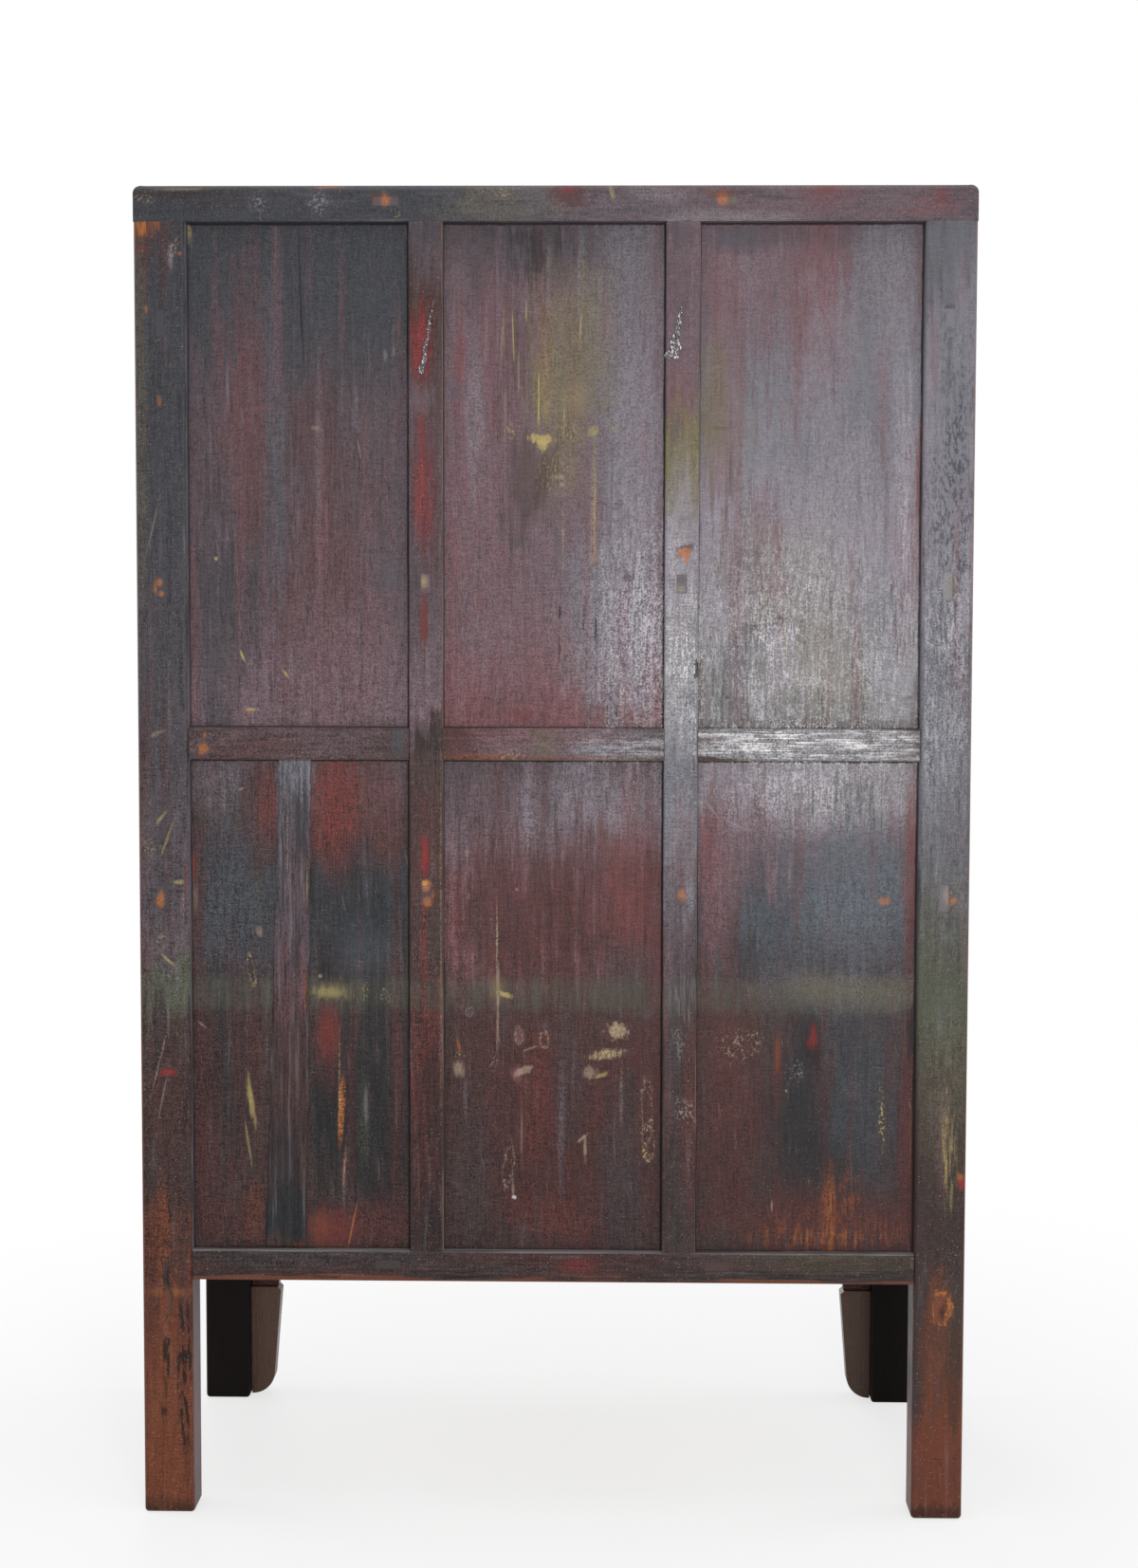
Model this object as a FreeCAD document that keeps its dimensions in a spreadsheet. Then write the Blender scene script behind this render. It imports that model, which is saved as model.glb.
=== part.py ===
import FreeCAD, Part
import math
import os
import Sketcher

# A lacquered two-door wedding cabinet, made as it is made in wood: four legs, a mitred top frame,
# a back of six panels between rails and muntins, sides of one long panel each with battens behind,
# two framed doors over two drawers, and a shaped apron that runs down the front legs.
# The back looks towards +Y, the doors towards -Y, and the floor is at height 0.
# Left and right are those of someone who stands before the doors, so left is -X.

SIZES = {
    # the case
    "case_width": 1150,
    "case_height": 1848,
    "case_depth": 550,
    # the legs
    "leg_width": 71,
    "leg_depth": 60,
    "leg_arris": 6,
    "foot_wear": 5.5,
    "fillet_margin": 0.1,
    "leg_top_tenon_width": 26,
    "leg_top_tenon_depth": 22,
    "leg_top_tenon_length": 24,
    # the top frame
    "top_rail_height": 50,
    "top_arris": 12,
    "top_panel_thickness": 10,
    "top_panel_drop": 3,
    "top_tongue": 5,
    # rails and muntins
    "rail_depth": 34,
    "rail_arris": 3,
    "muntin_width": 47,
    "muntin_tenon_length": 24,
    "middle_rail_top": 1109,
    "middle_rail_height": 45,
    "bottom_rail_top": 376.5,
    "bottom_rail_height": 43,
    "tenon_thickness": 12,
    "rail_tenon_length": 18,
    "leg_tenon_length": 40,
    "tenon_recess": 1,
    # the panels in their grooves
    "panel_thickness": 10,
    "panel_recess": 14,
    "panel_tongue": 6,
    "panel_bevel": 25,
    "panel_play": 1,
    "groove_depth": 8,
    # the cloth strip that is lacquered over a board joint
    "strip_thickness": 1,
    "strip_top_near": 335,
    "strip_top_far": 375.5,
    "strip_bottom_near": 344.5,
    "strip_bottom_far": 400,
    # the sides
    "side_rail_width": 45,
    "side_rail_height": 42,
    "side_rail_top": 321,
    "batten_height": 38,
    "batten_depth": 26,
    "batten_tenon_width": 13,
    "batten_tenon_length": 30,
    "upper_batten_drop": 117.5,
    # shelves and what carries them
    "lower_shelf_level": 894,
    "upper_shelf_drop": 474,
    "shelf_thickness": 12,
    "shelf_rail_depth": 24,
    "shelf_rail_height": 40,
    "bearer_width": 28,
    "bearer_height": 34,
    "bearer_tenon_width": 14,
    "bearer_tenon_height": 26,
    "bearer_tenon_length": 14,
    # braces under the floor and the top
    "brace_position": 230,
    "brace_width": 52,
    "brace_height": 28,
    "brace_tenon_width": 36,
    "brace_tenon_height": 13,
    "brace_tenon_drop": 3,
    "brace_tenon_length": 22,
    "floor_thickness": 10,
    "floor_lap": 8,
    # the front
    "drawer_rail_top": 558,
    "drawer_rail_height": 38,
    "divider_width": 36,
    "divider_tenon_length": 12,
    "apron_thickness": 20,
    "apron_setback": 4,
    "bracket_thickness": 30,
    "bracket_foot_width": 37,
    "bracket_top_width": 48,
    "bracket_foot_height": 30,
    "bracket_height": 176,
    "bracket_cusp": 5,
    "apron_shoulder_width": 104,
    "apron_shoulder_height": 236,
    "apron_scallop_width": 262,
    "apron_scallop_height": 264,
    "apron_point_height": 226,
    "apron_shoulder_bow": 18,
    "apron_bow": 9,
    # the doors
    "door_thickness": 28,
    "door_gap": 2,
    "door_meeting_gap": 3,
    "stile_width": 54,
    "door_tenon_inset": 12,
    "door_panel_recess": 4,
    "door_arris": 2,
    "door_battens": 3,
    "door_batten_height": 34,
    "door_batten_tenon": 10,
    # the brass
    "hinge_height": 110,
    "hinge_leaf_width": 46,
    "hinge_plate": 2,
    "hinge_inset": 150,
    "barrel_radius": 6,
    "barrel_standoff": 0.4,
    "knuckle_gap": 0.5,
    "pin_radius": 2.5,
    "pin_clearance": 0.05,
    "lock_plate_radius": 118,
    "lock_plate_height": 1178,
    "plate_thickness": 2,
    "plate_rim_width": 6,
    "plate_rim_rise": 1.2,
    "pull_offset": 38,
    "pull_radius": 30,
    "pull_wire": 3.2,
    "eye_wire": 2.2,
    "eye_clearance": 0.5,
    "eye_seat": 1,
    "drawer_plate_radius": 27,
    "drawer_pull_radius": 22,
    # the drawers
    "drawer_gap": 1.5,
    "drawer_slide_play": 0.4,
    "drawer_top_play": 1.6,
    "drawer_front_thickness": 20,
    "drawer_side_thickness": 12,
    "drawer_back_thickness": 10,
    "drawer_bottom_thickness": 8,
    "drawer_bottom_rise": 7,
    "drawer_bottom_groove": 5,
    "drawer_lap": 13,
    "drawer_back_gap": 56,
    "tail_count": 4,
    "tail_spacing": 9,
    "tail_splay": 2.5,
    "drawer_side_height": 122,
    "guide_height": 24,
    "guide_width": 20,
}

doc = FreeCAD.newDocument("wedding_cabinet")
sheet = doc.addObject("Spreadsheet::Sheet", "Sizes")
for row, (word, number) in enumerate(SIZES.items(), start=1):
    sheet.set(f"A{row}", word)
    sheet.set(f"B{row}", str(number))
    sheet.setAlias(f"B{row}", word)
doc.recompute()


class Length:
    """A length with its value today and the expression that keeps it tied to the sheet."""

    def __init__(self, value, text):
        self.value = value
        self.text = text

    def __add__(self, other):
        other = length(other)
        return Length(self.value + other.value, f"({self.text} + {other.text})")

    def __sub__(self, other):
        other = length(other)
        return Length(self.value - other.value, f"({self.text} - {other.text})")

    def __mul__(self, other):
        other = length(other)
        return Length(self.value * other.value, f"({self.text} * {other.text})")

    def __truediv__(self, other):
        other = length(other)
        return Length(self.value / other.value, f"({self.text} / {other.text})")

    def __neg__(self):
        return Length(-self.value, f"(0 - {self.text})")

    def __radd__(self, other):
        return length(other) + self

    def __rsub__(self, other):
        return length(other) - self

    def __rmul__(self, other):
        return length(other) * self


def length(number):
    """A Length as it is, or a plain number as one."""
    if isinstance(number, Length):
        return number
    return Length(float(number), repr(float(number)))


def size(word):
    """The Length of one cell of the sheet."""
    return Length(float(sheet.get(word)), f"Sizes.{word}")


def around(middle, width):
    """The low and high end of a width that is centred on a place."""
    return middle - width / 2, middle + width / 2


def across(side, near, far):
    """A range on the +X side, or its mirror image on the -X side."""
    if side > 0:
        return length(near), length(far)
    return -length(far), -length(near)


# Planes and levels that the pieces share

half = size("case_width") / 2
inner = half - size("leg_width")
leg_middle = half - size("leg_width") / 2
leg_top = size("case_height") - size("top_rail_height")
eye_hole = size("pull_wire") + size("eye_clearance")
eye_radius = eye_hole + size("eye_wire")
eye_reach = size("plate_thickness") + eye_radius + size("eye_wire") - size("eye_seat")
brass_reach = eye_reach + eye_radius + size("eye_wire")
front = (brass_reach - size("case_depth")) / 2
back = front + size("case_depth")
front_post = front + size("leg_depth")
rear_post = back - size("leg_depth")
front_frame = front + size("rail_depth")
back_frame = back - size("rail_depth")
bay = (2 * inner - 2 * size("muntin_width")) / 3
muntin_near = bay / 2
muntin_far = muntin_near + size("muntin_width")
muntin_middle = muntin_near + size("muntin_width") / 2
panel_face = back - size("panel_recess")
side_face = half - size("panel_recess")
side_inside = side_face - size("panel_thickness")
middle_rail_low = size("middle_rail_top") - size("middle_rail_height")
bottom_rail_low = size("bottom_rail_top") - size("bottom_rail_height")
drawer_rail_low = size("drawer_rail_top") - size("drawer_rail_height")
floor_low = size("bottom_rail_top") - size("floor_thickness")
LEFT = -1
RIGHT = 1
SIDES = {"left": LEFT, "right": RIGHT}


# Ways to make a solid

def place(item, x=None, y=None, z=None):
    """Ties the position of an object to lengths."""
    for axis, coordinate in (("x", x), ("y", y), ("z", z)):
        if coordinate is not None:
            item.setExpression(f"Placement.Base.{axis}", length(coordinate).text)
    return item


def block(name, x, y, z):
    """A square block between low and high ends along each axis."""
    box = doc.addObject("Part::Box", name)
    for prop, (low, high) in (("Length", x), ("Width", y), ("Height", z)):
        box.setExpression(prop, (length(high) - length(low)).text)
    return place(box, x[0], y[0], z[0])


def cylinder(name, radius, height, rotation=None):
    """A round bar from its base, standing up or turned by the rotation."""
    rod = doc.addObject("Part::Cylinder", name)
    rod.setExpression("Radius", length(radius).text)
    rod.setExpression("Height", length(height).text)
    if rotation is not None:
        rod.Placement.Rotation = rotation
    return rod


def torus(name, radius, wire, rotation):
    """A ring of round wire."""
    ring = doc.addObject("Part::Torus", name)
    ring.setExpression("Radius1", length(radius).text)
    ring.setExpression("Radius2", length(wire).text)
    ring.Placement.Rotation = rotation
    return ring


def fused(name, items):
    """Items joined into one solid."""
    union = doc.addObject("Part::MultiFuse", name)
    union.Shapes = items
    union.Refine = True
    return union


def cut_away(name, base, tools):
    """The base less its tools."""
    cut = doc.addObject("Part::Cut", name)
    cut.Base = base
    cut.Tool = tools[0] if len(tools) == 1 else fused(name + "_cuts", tools)
    return cut


class Corner:
    """A corner of an outline; the side that leaves it is straight, or an arc of a radius."""

    def __init__(self, u, v, radius=None, turn=0):
        self.u = length(u)
        self.v = length(v)
        self.radius = radius
        self.turn = turn

    def point(self):
        return FreeCAD.Vector(self.u.value, self.v.value, 0)


def arc_between(start, end, radius, turn):
    """The short arc from start to end, anticlockwise for a turn of 1 and clockwise for -1."""
    chord = end - start
    middle = start + chord / 2
    to_centre = FreeCAD.Vector(-chord.y, chord.x, 0)
    to_centre.normalize()
    distance = math.sqrt(max(radius ** 2 - chord.Length ** 2 / 4, 0))
    centre = middle + to_centre * distance * turn
    first, last = (start, end) if turn > 0 else (end, start)
    first_angle = math.atan2(first.y - centre.y, first.x - centre.x)
    last_angle = math.atan2(last.y - centre.y, last.x - centre.x)
    if last_angle < first_angle:
        last_angle += 2 * math.pi
    circle = Part.Circle(centre, FreeCAD.Vector(0, 0, 1), radius)
    return Part.ArcOfCircle(circle, first_angle, last_angle)


def draw(sketch, corners):
    """Draws a closed outline and ties each corner and radius to its length."""
    follows = corners[1:] + corners[:1]
    for corner, following in zip(corners, follows):
        if corner.radius is None:
            side = Part.LineSegment(corner.point(), following.point())
        else:
            side = arc_between(corner.point(), following.point(), corner.radius.value, corner.turn)
        sketch.addGeometry(side, False)
    last = len(corners) - 1
    for index, corner in enumerate(corners):
        start = 2 if corner.turn < 0 else 1
        previous = corners[index - 1]
        previous_end = 1 if previous.turn < 0 else 2
        previous_index = last if index == 0 else index - 1
        sketch.addConstraint(Sketcher.Constraint("Coincident", previous_index, previous_end, index, start))
        for kind, coordinate, word in (("DistanceX", corner.u, "across"), ("DistanceY", corner.v, "up")):
            made = Sketcher.Constraint(kind, -1, 1, index, start, coordinate.value)
            number = sketch.addConstraint(made)
            sketch.renameConstraint(number, f"{word}_{index}")
            sketch.setExpression(f"Constraints.{word}_{index}", coordinate.text)
        if corner.radius is not None:
            number = sketch.addConstraint(Sketcher.Constraint("Radius", index, corner.radius.value))
            sketch.renameConstraint(number, f"radius_{index}")
            sketch.setExpression(f"Constraints.radius_{index}", corner.radius.text)


PLANES = {"x": "YZ_Plane", "y": "XZ_Plane", "z": "XY_Plane"}
NEAR = 1


def extruded(name, along, low, high, corners):
    """A body padded from its outline along one axis, from the low to the high end."""
    body = doc.addObject("PartDesign::Body", name)
    sketch = body.newObject("Sketcher::SketchObject", name + "_outline")
    plane = [item for item in body.Origin.OriginFeatures if item.Role == PLANES[along]][0]
    sketch.AttachmentSupport = [(plane, "")]
    sketch.MapMode = "FlatFace"
    draw(sketch, corners)
    pad = body.newObject("PartDesign::Pad", name + "_pad")
    pad.Profile = sketch
    pad.setExpression("Length", (length(high) - length(low)).text)
    pad.Reversed = along == "y"
    return place(body, **{along: low})


def rounded(body, middles, word):
    """Rounds the straight edges of a padded body whose middles lie at the given points of the pad."""
    doc.recompute()
    pad = body.Tip
    edges = [
        f"Edge{number}"
        for number, edge in enumerate(pad.Shape.Edges, start=1)
        if min((edge.CenterOfMass - middle).Length for middle in middles) < NEAR
    ]
    fillet = body.newObject("PartDesign::Fillet", body.Name + "_arris")
    fillet.Base = (pad, edges)
    fillet.setExpression("Radius", f"Sizes.{word}")
    return body


def eased(u, v, arris):
    """The outline of a bar's section with its four arrises eased."""
    (left, right), (low, high) = u, v
    return [
        Corner(left + arris, low),
        Corner(right - arris, low, arris, 1),
        Corner(right, low + arris),
        Corner(right, high - arris, arris, 1),
        Corner(right - arris, high),
        Corner(left + arris, high, arris, 1),
        Corner(left, high - arris),
        Corner(left, low + arris, arris, 1),
    ]


def bar(name, along, x, y, z, arris):
    """A bar along one axis with eased long arrises."""
    spans = {"x": x, "y": y, "z": z}
    section = {"x": (y, z), "y": (x, z), "z": (x, y)}[along]
    return extruded(name, along, *spans[along], eased(*section, arris))


def fielded(u, v_face, inward):
    """The section of a panel with a flat face, bevelled behind down to a tongue at each side.

    The span u goes across the board with its tongues, and inward is -1 or 1, the way from its
    face to its back.
    """
    low, high = u
    tongue = v_face + inward * size("panel_tongue")
    rear = v_face + inward * size("panel_thickness")
    lip = size("groove_depth")
    slope = lip + size("panel_bevel")
    return [
        Corner(low, v_face),
        Corner(high, v_face),
        Corner(high, tongue),
        Corner(high - lip, tongue),
        Corner(high - slope, rear),
        Corner(low + slope, rear),
        Corner(low + lip, tongue),
        Corner(low, tongue),
    ]


class Piece:
    """A board or bar: its stock, the tenons that stand on it and what is cut away for others."""

    def __init__(self, stock):
        self.stock = stock
        self.tenons = []
        self.cuts = []

    def tenon(self, peg, *receivers):
        """Adds a tenon here and its mortise in each piece that receives it."""
        self.tenons.append(peg)
        for receiver in receivers:
            receiver.cuts.append(peg)

    def finished(self, name):
        """The stock with its tenons, less its mortises and grooves."""
        item = self.stock
        if self.tenons:
            item = fused(name + "_with_tenons", [item] + self.tenons)
        if self.cuts:
            item = cut_away(name + "_cut", item, self.cuts)
        return item


nodes = {}


def piece(node, stock):
    """Puts a new piece into a node."""
    made = Piece(stock)
    nodes.setdefault(node, []).append(made)
    return made


# The four legs

def leg(node, side, y):
    """A leg with eased arrises and a foot worn round, and the tenon on its top."""
    x = across(side, inner, half)
    body = bar(node + "_bar", "z", x, y, (0, leg_top), size("leg_arris"))
    doc.recompute()
    pad = body.Tip
    floor_edges = [
        f"Edge{number}"
        for number, edge in enumerate(pad.Shape.Edges, start=1)
        if edge.BoundBox.ZMax < size("foot_wear").value / 2
    ]
    worn = body.newObject("PartDesign::Fillet", node + "_foot")
    worn.Base = (pad, floor_edges)
    worn.setExpression("Radius", "min(Sizes.foot_wear; Sizes.leg_arris - Sizes.fillet_margin)")
    made = piece(node, body)
    top_x = around(side * leg_middle, size("leg_top_tenon_width"))
    top_y = around((y[0] + y[1]) / 2, size("leg_top_tenon_depth"))
    made.top_tenon = block(node + "_top_tenon", top_x, top_y, (leg_top, leg_top + size("leg_top_tenon_length")))
    return made


rear_legs = {side: leg(f"rear_{word}_leg", side, (rear_post, back)) for word, side in SIDES.items()}
front_legs = {side: leg(f"front_{word}_leg", side, (front, front_post)) for word, side in SIDES.items()}


# The mitred frame of the top

def top_rail(node, ends, middle_ends):
    """One rail of the top frame, mitred at both ends, its outer top arris rounded over."""
    body = extruded(node + "_bar", "z", leg_top, size("case_height"), [
        Corner(*ends[0]),
        Corner(*ends[1]),
        Corner(*middle_ends[1]),
        Corner(*middle_ends[0]),
    ])
    outer_middle = FreeCAD.Vector(
        (ends[0][0] + ends[1][0]).value / 2,
        (ends[0][1] + ends[1][1]).value / 2,
        size("top_rail_height").value,
    )
    return piece(node, rounded(body, [outer_middle], "top_arris"))


def top_frame_rails():
    """The four rails, their mitres running from outer to inner corners."""
    rails = {}
    for word, outer, inside in (("front", front, front_post), ("back", back, rear_post)):
        ends = ((-half, outer), (half, outer))
        rails[word] = top_rail(f"top_{word}_rail", ends, ((-inner, inside), (inner, inside)))
    for word, side in SIDES.items():
        ends = ((side * half, front), (side * half, back))
        inner_ends = ((side * inner, front_post), (side * inner, rear_post))
        rails[word] = top_rail(f"top_{word}_rail", ends, inner_ends)
    return rails


top_rails = top_frame_rails()
for place_word, legs in (("front", front_legs), ("back", rear_legs)):
    for word, side in SIDES.items():
        legs[side].tenon(legs[side].top_tenon, top_rails[place_word], top_rails[word])

panel_under = size("case_height") - size("top_panel_drop") - size("top_panel_thickness")
tongue_reach = size("groove_depth") - size("panel_play")
top_field = block(
    "top_field",
    (-inner, inner),
    (front_post, rear_post),
    (panel_under, panel_under + size("top_panel_thickness")),
)
top_panel = piece("top_panel", top_field)
top_tongue = block(
    "top_panel_tongue",
    (-inner - tongue_reach, inner + tongue_reach),
    (front_post - tongue_reach, rear_post + tongue_reach),
    (panel_under, panel_under + size("top_tongue")),
)
top_panel.tenons.append(top_tongue)
top_groove = block(
    "top_groove",
    (-inner - size("groove_depth"), inner + size("groove_depth")),
    (front_post - size("groove_depth"), rear_post + size("groove_depth")),
    (panel_under, panel_under + size("top_tongue")),
)
for rail in top_rails.values():
    rail.cuts.append(top_groove)


# Braces that run from front to back, under the top panel and under the floor

def brace(node, side, top, y, front_piece, back_piece):
    """A flat brace with a blind tenon in front and a tenon right through the back rail."""
    middle = side * size("brace_position")
    z = (top - size("brace_height"), top)
    made = piece(node, block(node + "_bar", around(middle, size("brace_width")), y, z))
    tenon_top = top - size("brace_tenon_drop")
    tenon_x = around(middle, size("brace_tenon_width"))
    tenon_z = (tenon_top - size("brace_tenon_height"), tenon_top)
    blind = block(node + "_blind_tenon", tenon_x, (y[0] - size("brace_tenon_length"), y[0]), tenon_z)
    made.tenon(blind, front_piece)
    through = block(node + "_through_tenon", tenon_x, (y[1], back - size("tenon_recess")), tenon_z)
    made.tenons.append(through)
    back_piece.cuts.append(block(node + "_through_mortise", tenon_x, (y[1], back), tenon_z))
    return made


for side in SIDES.values():
    brace("top_braces", side, panel_under, (front_post, rear_post), top_rails["front"], top_rails["back"])


# The back: a top rail, two muntins, three short middle rails and one long bottom rail

def stub(name, x, y, z):
    """A tenon of the common thickness in the middle of a rail's depth."""
    return block(name, x, around((y[0] + y[1]) / 2, size("tenon_thickness")), z)


def shouldered(z):
    """The height of a tenon, clear of the grooves above and below."""
    return z[0] + size("groove_depth"), z[1] - size("groove_depth")


back_depth = (back_frame, back)
front_depth = (front, front_frame)
bottom_rail_z = (bottom_rail_low, size("bottom_rail_top"))
middle_rail_z = (middle_rail_low, size("middle_rail_top"))


def long_rail(node, y, z, legs):
    """A rail from leg to leg with a tenon in each."""
    made = piece(node, bar(node + "_bar", "x", (-inner, inner), y, z, size("rail_arris")))
    for side in SIDES.values():
        x = across(side, inner, inner + size("leg_tenon_length"))
        made.tenon(stub(node + "_tenon", x, y, shouldered(z)), legs[side])
    return made


back_bottom_rail = long_rail("back_bottom_rail", back_depth, bottom_rail_z, rear_legs)
muntins = {}
for word, side in SIDES.items():
    node = f"back_{word}_muntin"
    x = across(side, muntin_near, muntin_far)
    z = (size("bottom_rail_top"), leg_top)
    muntins[side] = piece(node, bar(node + "_bar", "z", x, back_depth, z, size("rail_arris")))
    tenon_x = (x[0] + size("groove_depth"), x[1] - size("groove_depth"))
    upper = (leg_top, leg_top + size("muntin_tenon_length"))
    lower = (z[0] - size("muntin_tenon_length"), z[0])
    muntins[side].tenon(stub(node + "_top_tenon", tenon_x, back_depth, upper), top_rails["back"])
    muntins[side].tenon(stub(node + "_low_tenon", tenon_x, back_depth, lower), back_bottom_rail)

bays = {
    "left": (-inner, -muntin_far, rear_legs[LEFT], muntins[LEFT]),
    "middle": (-muntin_near, muntin_near, muntins[LEFT], muntins[RIGHT]),
    "right": (muntin_far, inner, muntins[RIGHT], rear_legs[RIGHT]),
}
middle_rails = {}
for word, (low, high, low_post, high_post) in bays.items():
    stock = bar(f"middle_rail_{word}", "x", (low, high), back_depth, middle_rail_z, size("rail_arris"))
    rail = piece("back_middle_rails", stock)
    reach = size("rail_tenon_length")
    height = shouldered(middle_rail_z)
    rail.tenon(stub(f"middle_rail_{word}_tenon", (low - reach, low), back_depth, height), low_post)
    rail.tenon(stub(f"middle_rail_{word}_tenon", (high, high + reach), back_depth, height), high_post)
    middle_rails[word] = rail


def grooved_panel(node, x, y_face, inward, z, posts, rails):
    """A panel that floats in grooves: thin at its sides, full in the rails above and below."""
    groove = size("groove_depth")
    x_board = (x[0] - tongue_reach, x[1] + tongue_reach)
    z_board = (z[0] - tongue_reach, z[1] + tongue_reach)
    corners = fielded(x_board, y_face, inward)
    made = piece(node, extruded(node + "_board", "z", *z_board, corners))
    tongue = sorted((y_face, y_face + inward * size("panel_tongue")), key=lambda item: item.value)
    full = sorted((y_face, y_face + inward * size("panel_thickness")), key=lambda item: item.value)
    z_groove = (z[0] - groove, z[1] + groove)
    thin = block(node + "_side_groove", (x[0] - groove, x[1] + groove), tongue, z_groove)
    thick = block(node + "_end_groove", x, full, z_groove)
    for post in posts:
        post.cuts.append(thin)
    for rail in rails:
        rail.cuts.append(thin)
        rail.cuts.append(thick)
    return made


for word, (low, high, low_post, high_post) in bays.items():
    rows = {
        "upper": (size("middle_rail_top"), leg_top, [middle_rails[word], top_rails["back"]]),
        "lower": (size("bottom_rail_top"), middle_rail_low, [back_bottom_rail, middle_rails[word]]),
    }
    for row_word, (z_low, z_high, rails) in rows.items():
        node = f"back_{row_word}_{word}_panel"
        grooved_panel(node, (low, high), panel_face, -1, (z_low, z_high), [low_post, high_post], rails)

strip = extruded("seam_strip_cloth", "y", panel_face, panel_face + size("strip_thickness"), [
    Corner(size("strip_bottom_near"), size("bottom_rail_top")),
    Corner(size("strip_bottom_far"), size("bottom_rail_top")),
    Corner(size("strip_top_far"), middle_rail_low),
    Corner(size("strip_top_near"), middle_rail_low),
])
piece("seam_strip", strip)


# The sides: a low rail, one long panel, and battens behind it that also carry the shelves

side_y = (front_post, rear_post)
shelf_levels = {"lower": size("lower_shelf_level"), "upper": leg_top - size("upper_shelf_drop")}
batten_tops = {
    "low": shelf_levels["lower"],
    "middle": shelf_levels["upper"],
    "high": leg_top - size("upper_batten_drop"),
}


def side_tenons(made, node, side, z):
    """A blind tenon in the front leg and one right through the rear leg."""
    x = around(side * leg_middle, size("batten_tenon_width"))
    blind = block(node + "_blind_tenon", x, (front_post - size("batten_tenon_length"), front_post), z)
    made.tenon(blind, front_legs[side])
    made.tenons.append(block(node + "_through_tenon", x, (rear_post, back - size("tenon_recess")), z))
    rear_legs[side].cuts.append(block(node + "_through_mortise", x, (rear_post, back), z))


for word, side in SIDES.items():
    node = f"{word}_side_bottom_rail"
    z = (size("side_rail_top") - size("side_rail_height"), size("side_rail_top"))
    x = across(side, half - size("side_rail_width"), half)
    rail = piece(node, bar(node + "_bar", "y", x, side_y, z, size("rail_arris")))
    side_tenons(rail, node, side, (z[0] + size("rail_arris"), z[1] - size("rail_arris")))
    for level, top in batten_tops.items():
        name = f"{word}_batten_{level}"
        z = (top - size("batten_height"), top)
        x = across(side, side_inside - size("batten_depth"), side_inside)
        batten = piece(f"{word}_side_battens", block(name, x, side_y, z))
        side_tenons(batten, name, side, z)
    node = f"{word}_side_panel"
    groove = size("groove_depth")
    z = (size("side_rail_top"), leg_top)
    y_board = (front_post - tongue_reach, rear_post + tongue_reach)
    board = [Corner(corner.v, corner.u) for corner in fielded(y_board, side * side_face, -side)]
    z_board = (z[0] - tongue_reach, z[1] + tongue_reach)
    piece(node, extruded(node + "_board", "z", *z_board, board))
    z_groove = (z[0] - groove, z[1] + groove)
    tongue_x = across(side, side_face - size("panel_tongue"), side_face)
    full_x = across(side, side_inside, side_face)
    thin = block(node + "_side_groove", tongue_x, (front_post - groove, rear_post + groove), z_groove)
    thick = block(node + "_end_groove", full_x, side_y, z_groove)
    for post in (front_legs[side], rear_legs[side]):
        post.cuts.append(thin)
    for cut_rail in (rail, top_rails[word]):
        cut_rail.cuts.append(thin)
        cut_rail.cuts.append(thick)


# The front rails and the post between the drawers

front_bottom_rail = long_rail("front_bottom_rail", front_depth, bottom_rail_z, front_legs)
drawer_rail_z = (drawer_rail_low, size("drawer_rail_top"))
drawer_rail = long_rail("drawer_rail", front_depth, drawer_rail_z, front_legs)
divider_x = around(length(0), size("divider_width"))
divider_z = (size("bottom_rail_top"), drawer_rail_low)
divider = piece("drawer_divider", block("divider_bar", divider_x, front_depth, divider_z))
divider_tenon_x = (divider_x[0] + size("groove_depth"), divider_x[1] - size("groove_depth"))
divider_reach = size("divider_tenon_length")
low_tenon = stub("divider_low_tenon", divider_tenon_x, front_depth, (divider_z[0] - divider_reach, divider_z[0]))
high_tenon = stub("divider_high_tenon", divider_tenon_x, front_depth, (divider_z[1], divider_z[1] + divider_reach))
divider.tenon(low_tenon, front_bottom_rail)
divider.tenon(high_tenon, drawer_rail)


# The shaped apron and the brackets that run down beside the front legs

apron_front = front + size("apron_setback")
apron_ends = inner - size("bracket_top_width") + size("bracket_cusp")
shoulder = inner - size("apron_shoulder_width")
scallop = inner - size("apron_scallop_width")


def bowed(start, end, rise):
    """The radius of an arc that stands off the chord between two points by its rise."""
    run_u = end[0] - start[0]
    run_v = end[1] - start[1]
    chord_squared = run_u * run_u + run_v * run_v
    return (chord_squared / 4 + rise * rise) / (2 * rise)


def apron_outline():
    """The lower edge, from the left leg to the right one, then straight back along the rail."""
    bow = size("apron_bow")
    half_edge = [
        (inner, size("bracket_height")),
        (apron_ends, size("bracket_height")),
        (shoulder, size("apron_shoulder_height")),
        (scallop, size("apron_scallop_height")),
        (length(0), size("apron_point_height")),
    ]
    rises = [None, size("apron_shoulder_bow"), bow, bow]
    turns = [0, -1, 1, -1]
    corners = []
    for index, (u, v) in enumerate(half_edge[:-1]):
        start, end = half_edge[index], half_edge[index + 1]
        radius = None if rises[index] is None else bowed(start, end, rises[index])
        corners.append(Corner(-u, v, radius, turns[index]))
    corners.append(Corner(*half_edge[-1], bowed(half_edge[3], half_edge[4], rises[3]), turns[3]))
    for index in (3, 2, 1):
        start, end = half_edge[index], half_edge[index - 1]
        rise = rises[index - 1]
        radius = None if rise is None else bowed(start, end, rise)
        corners.append(Corner(*half_edge[index], radius, turns[index - 1]))
    corners.append(Corner(*half_edge[0]))
    corners.append(Corner(inner, bottom_rail_low))
    corners.append(Corner(-inner, bottom_rail_low))
    return corners


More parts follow.
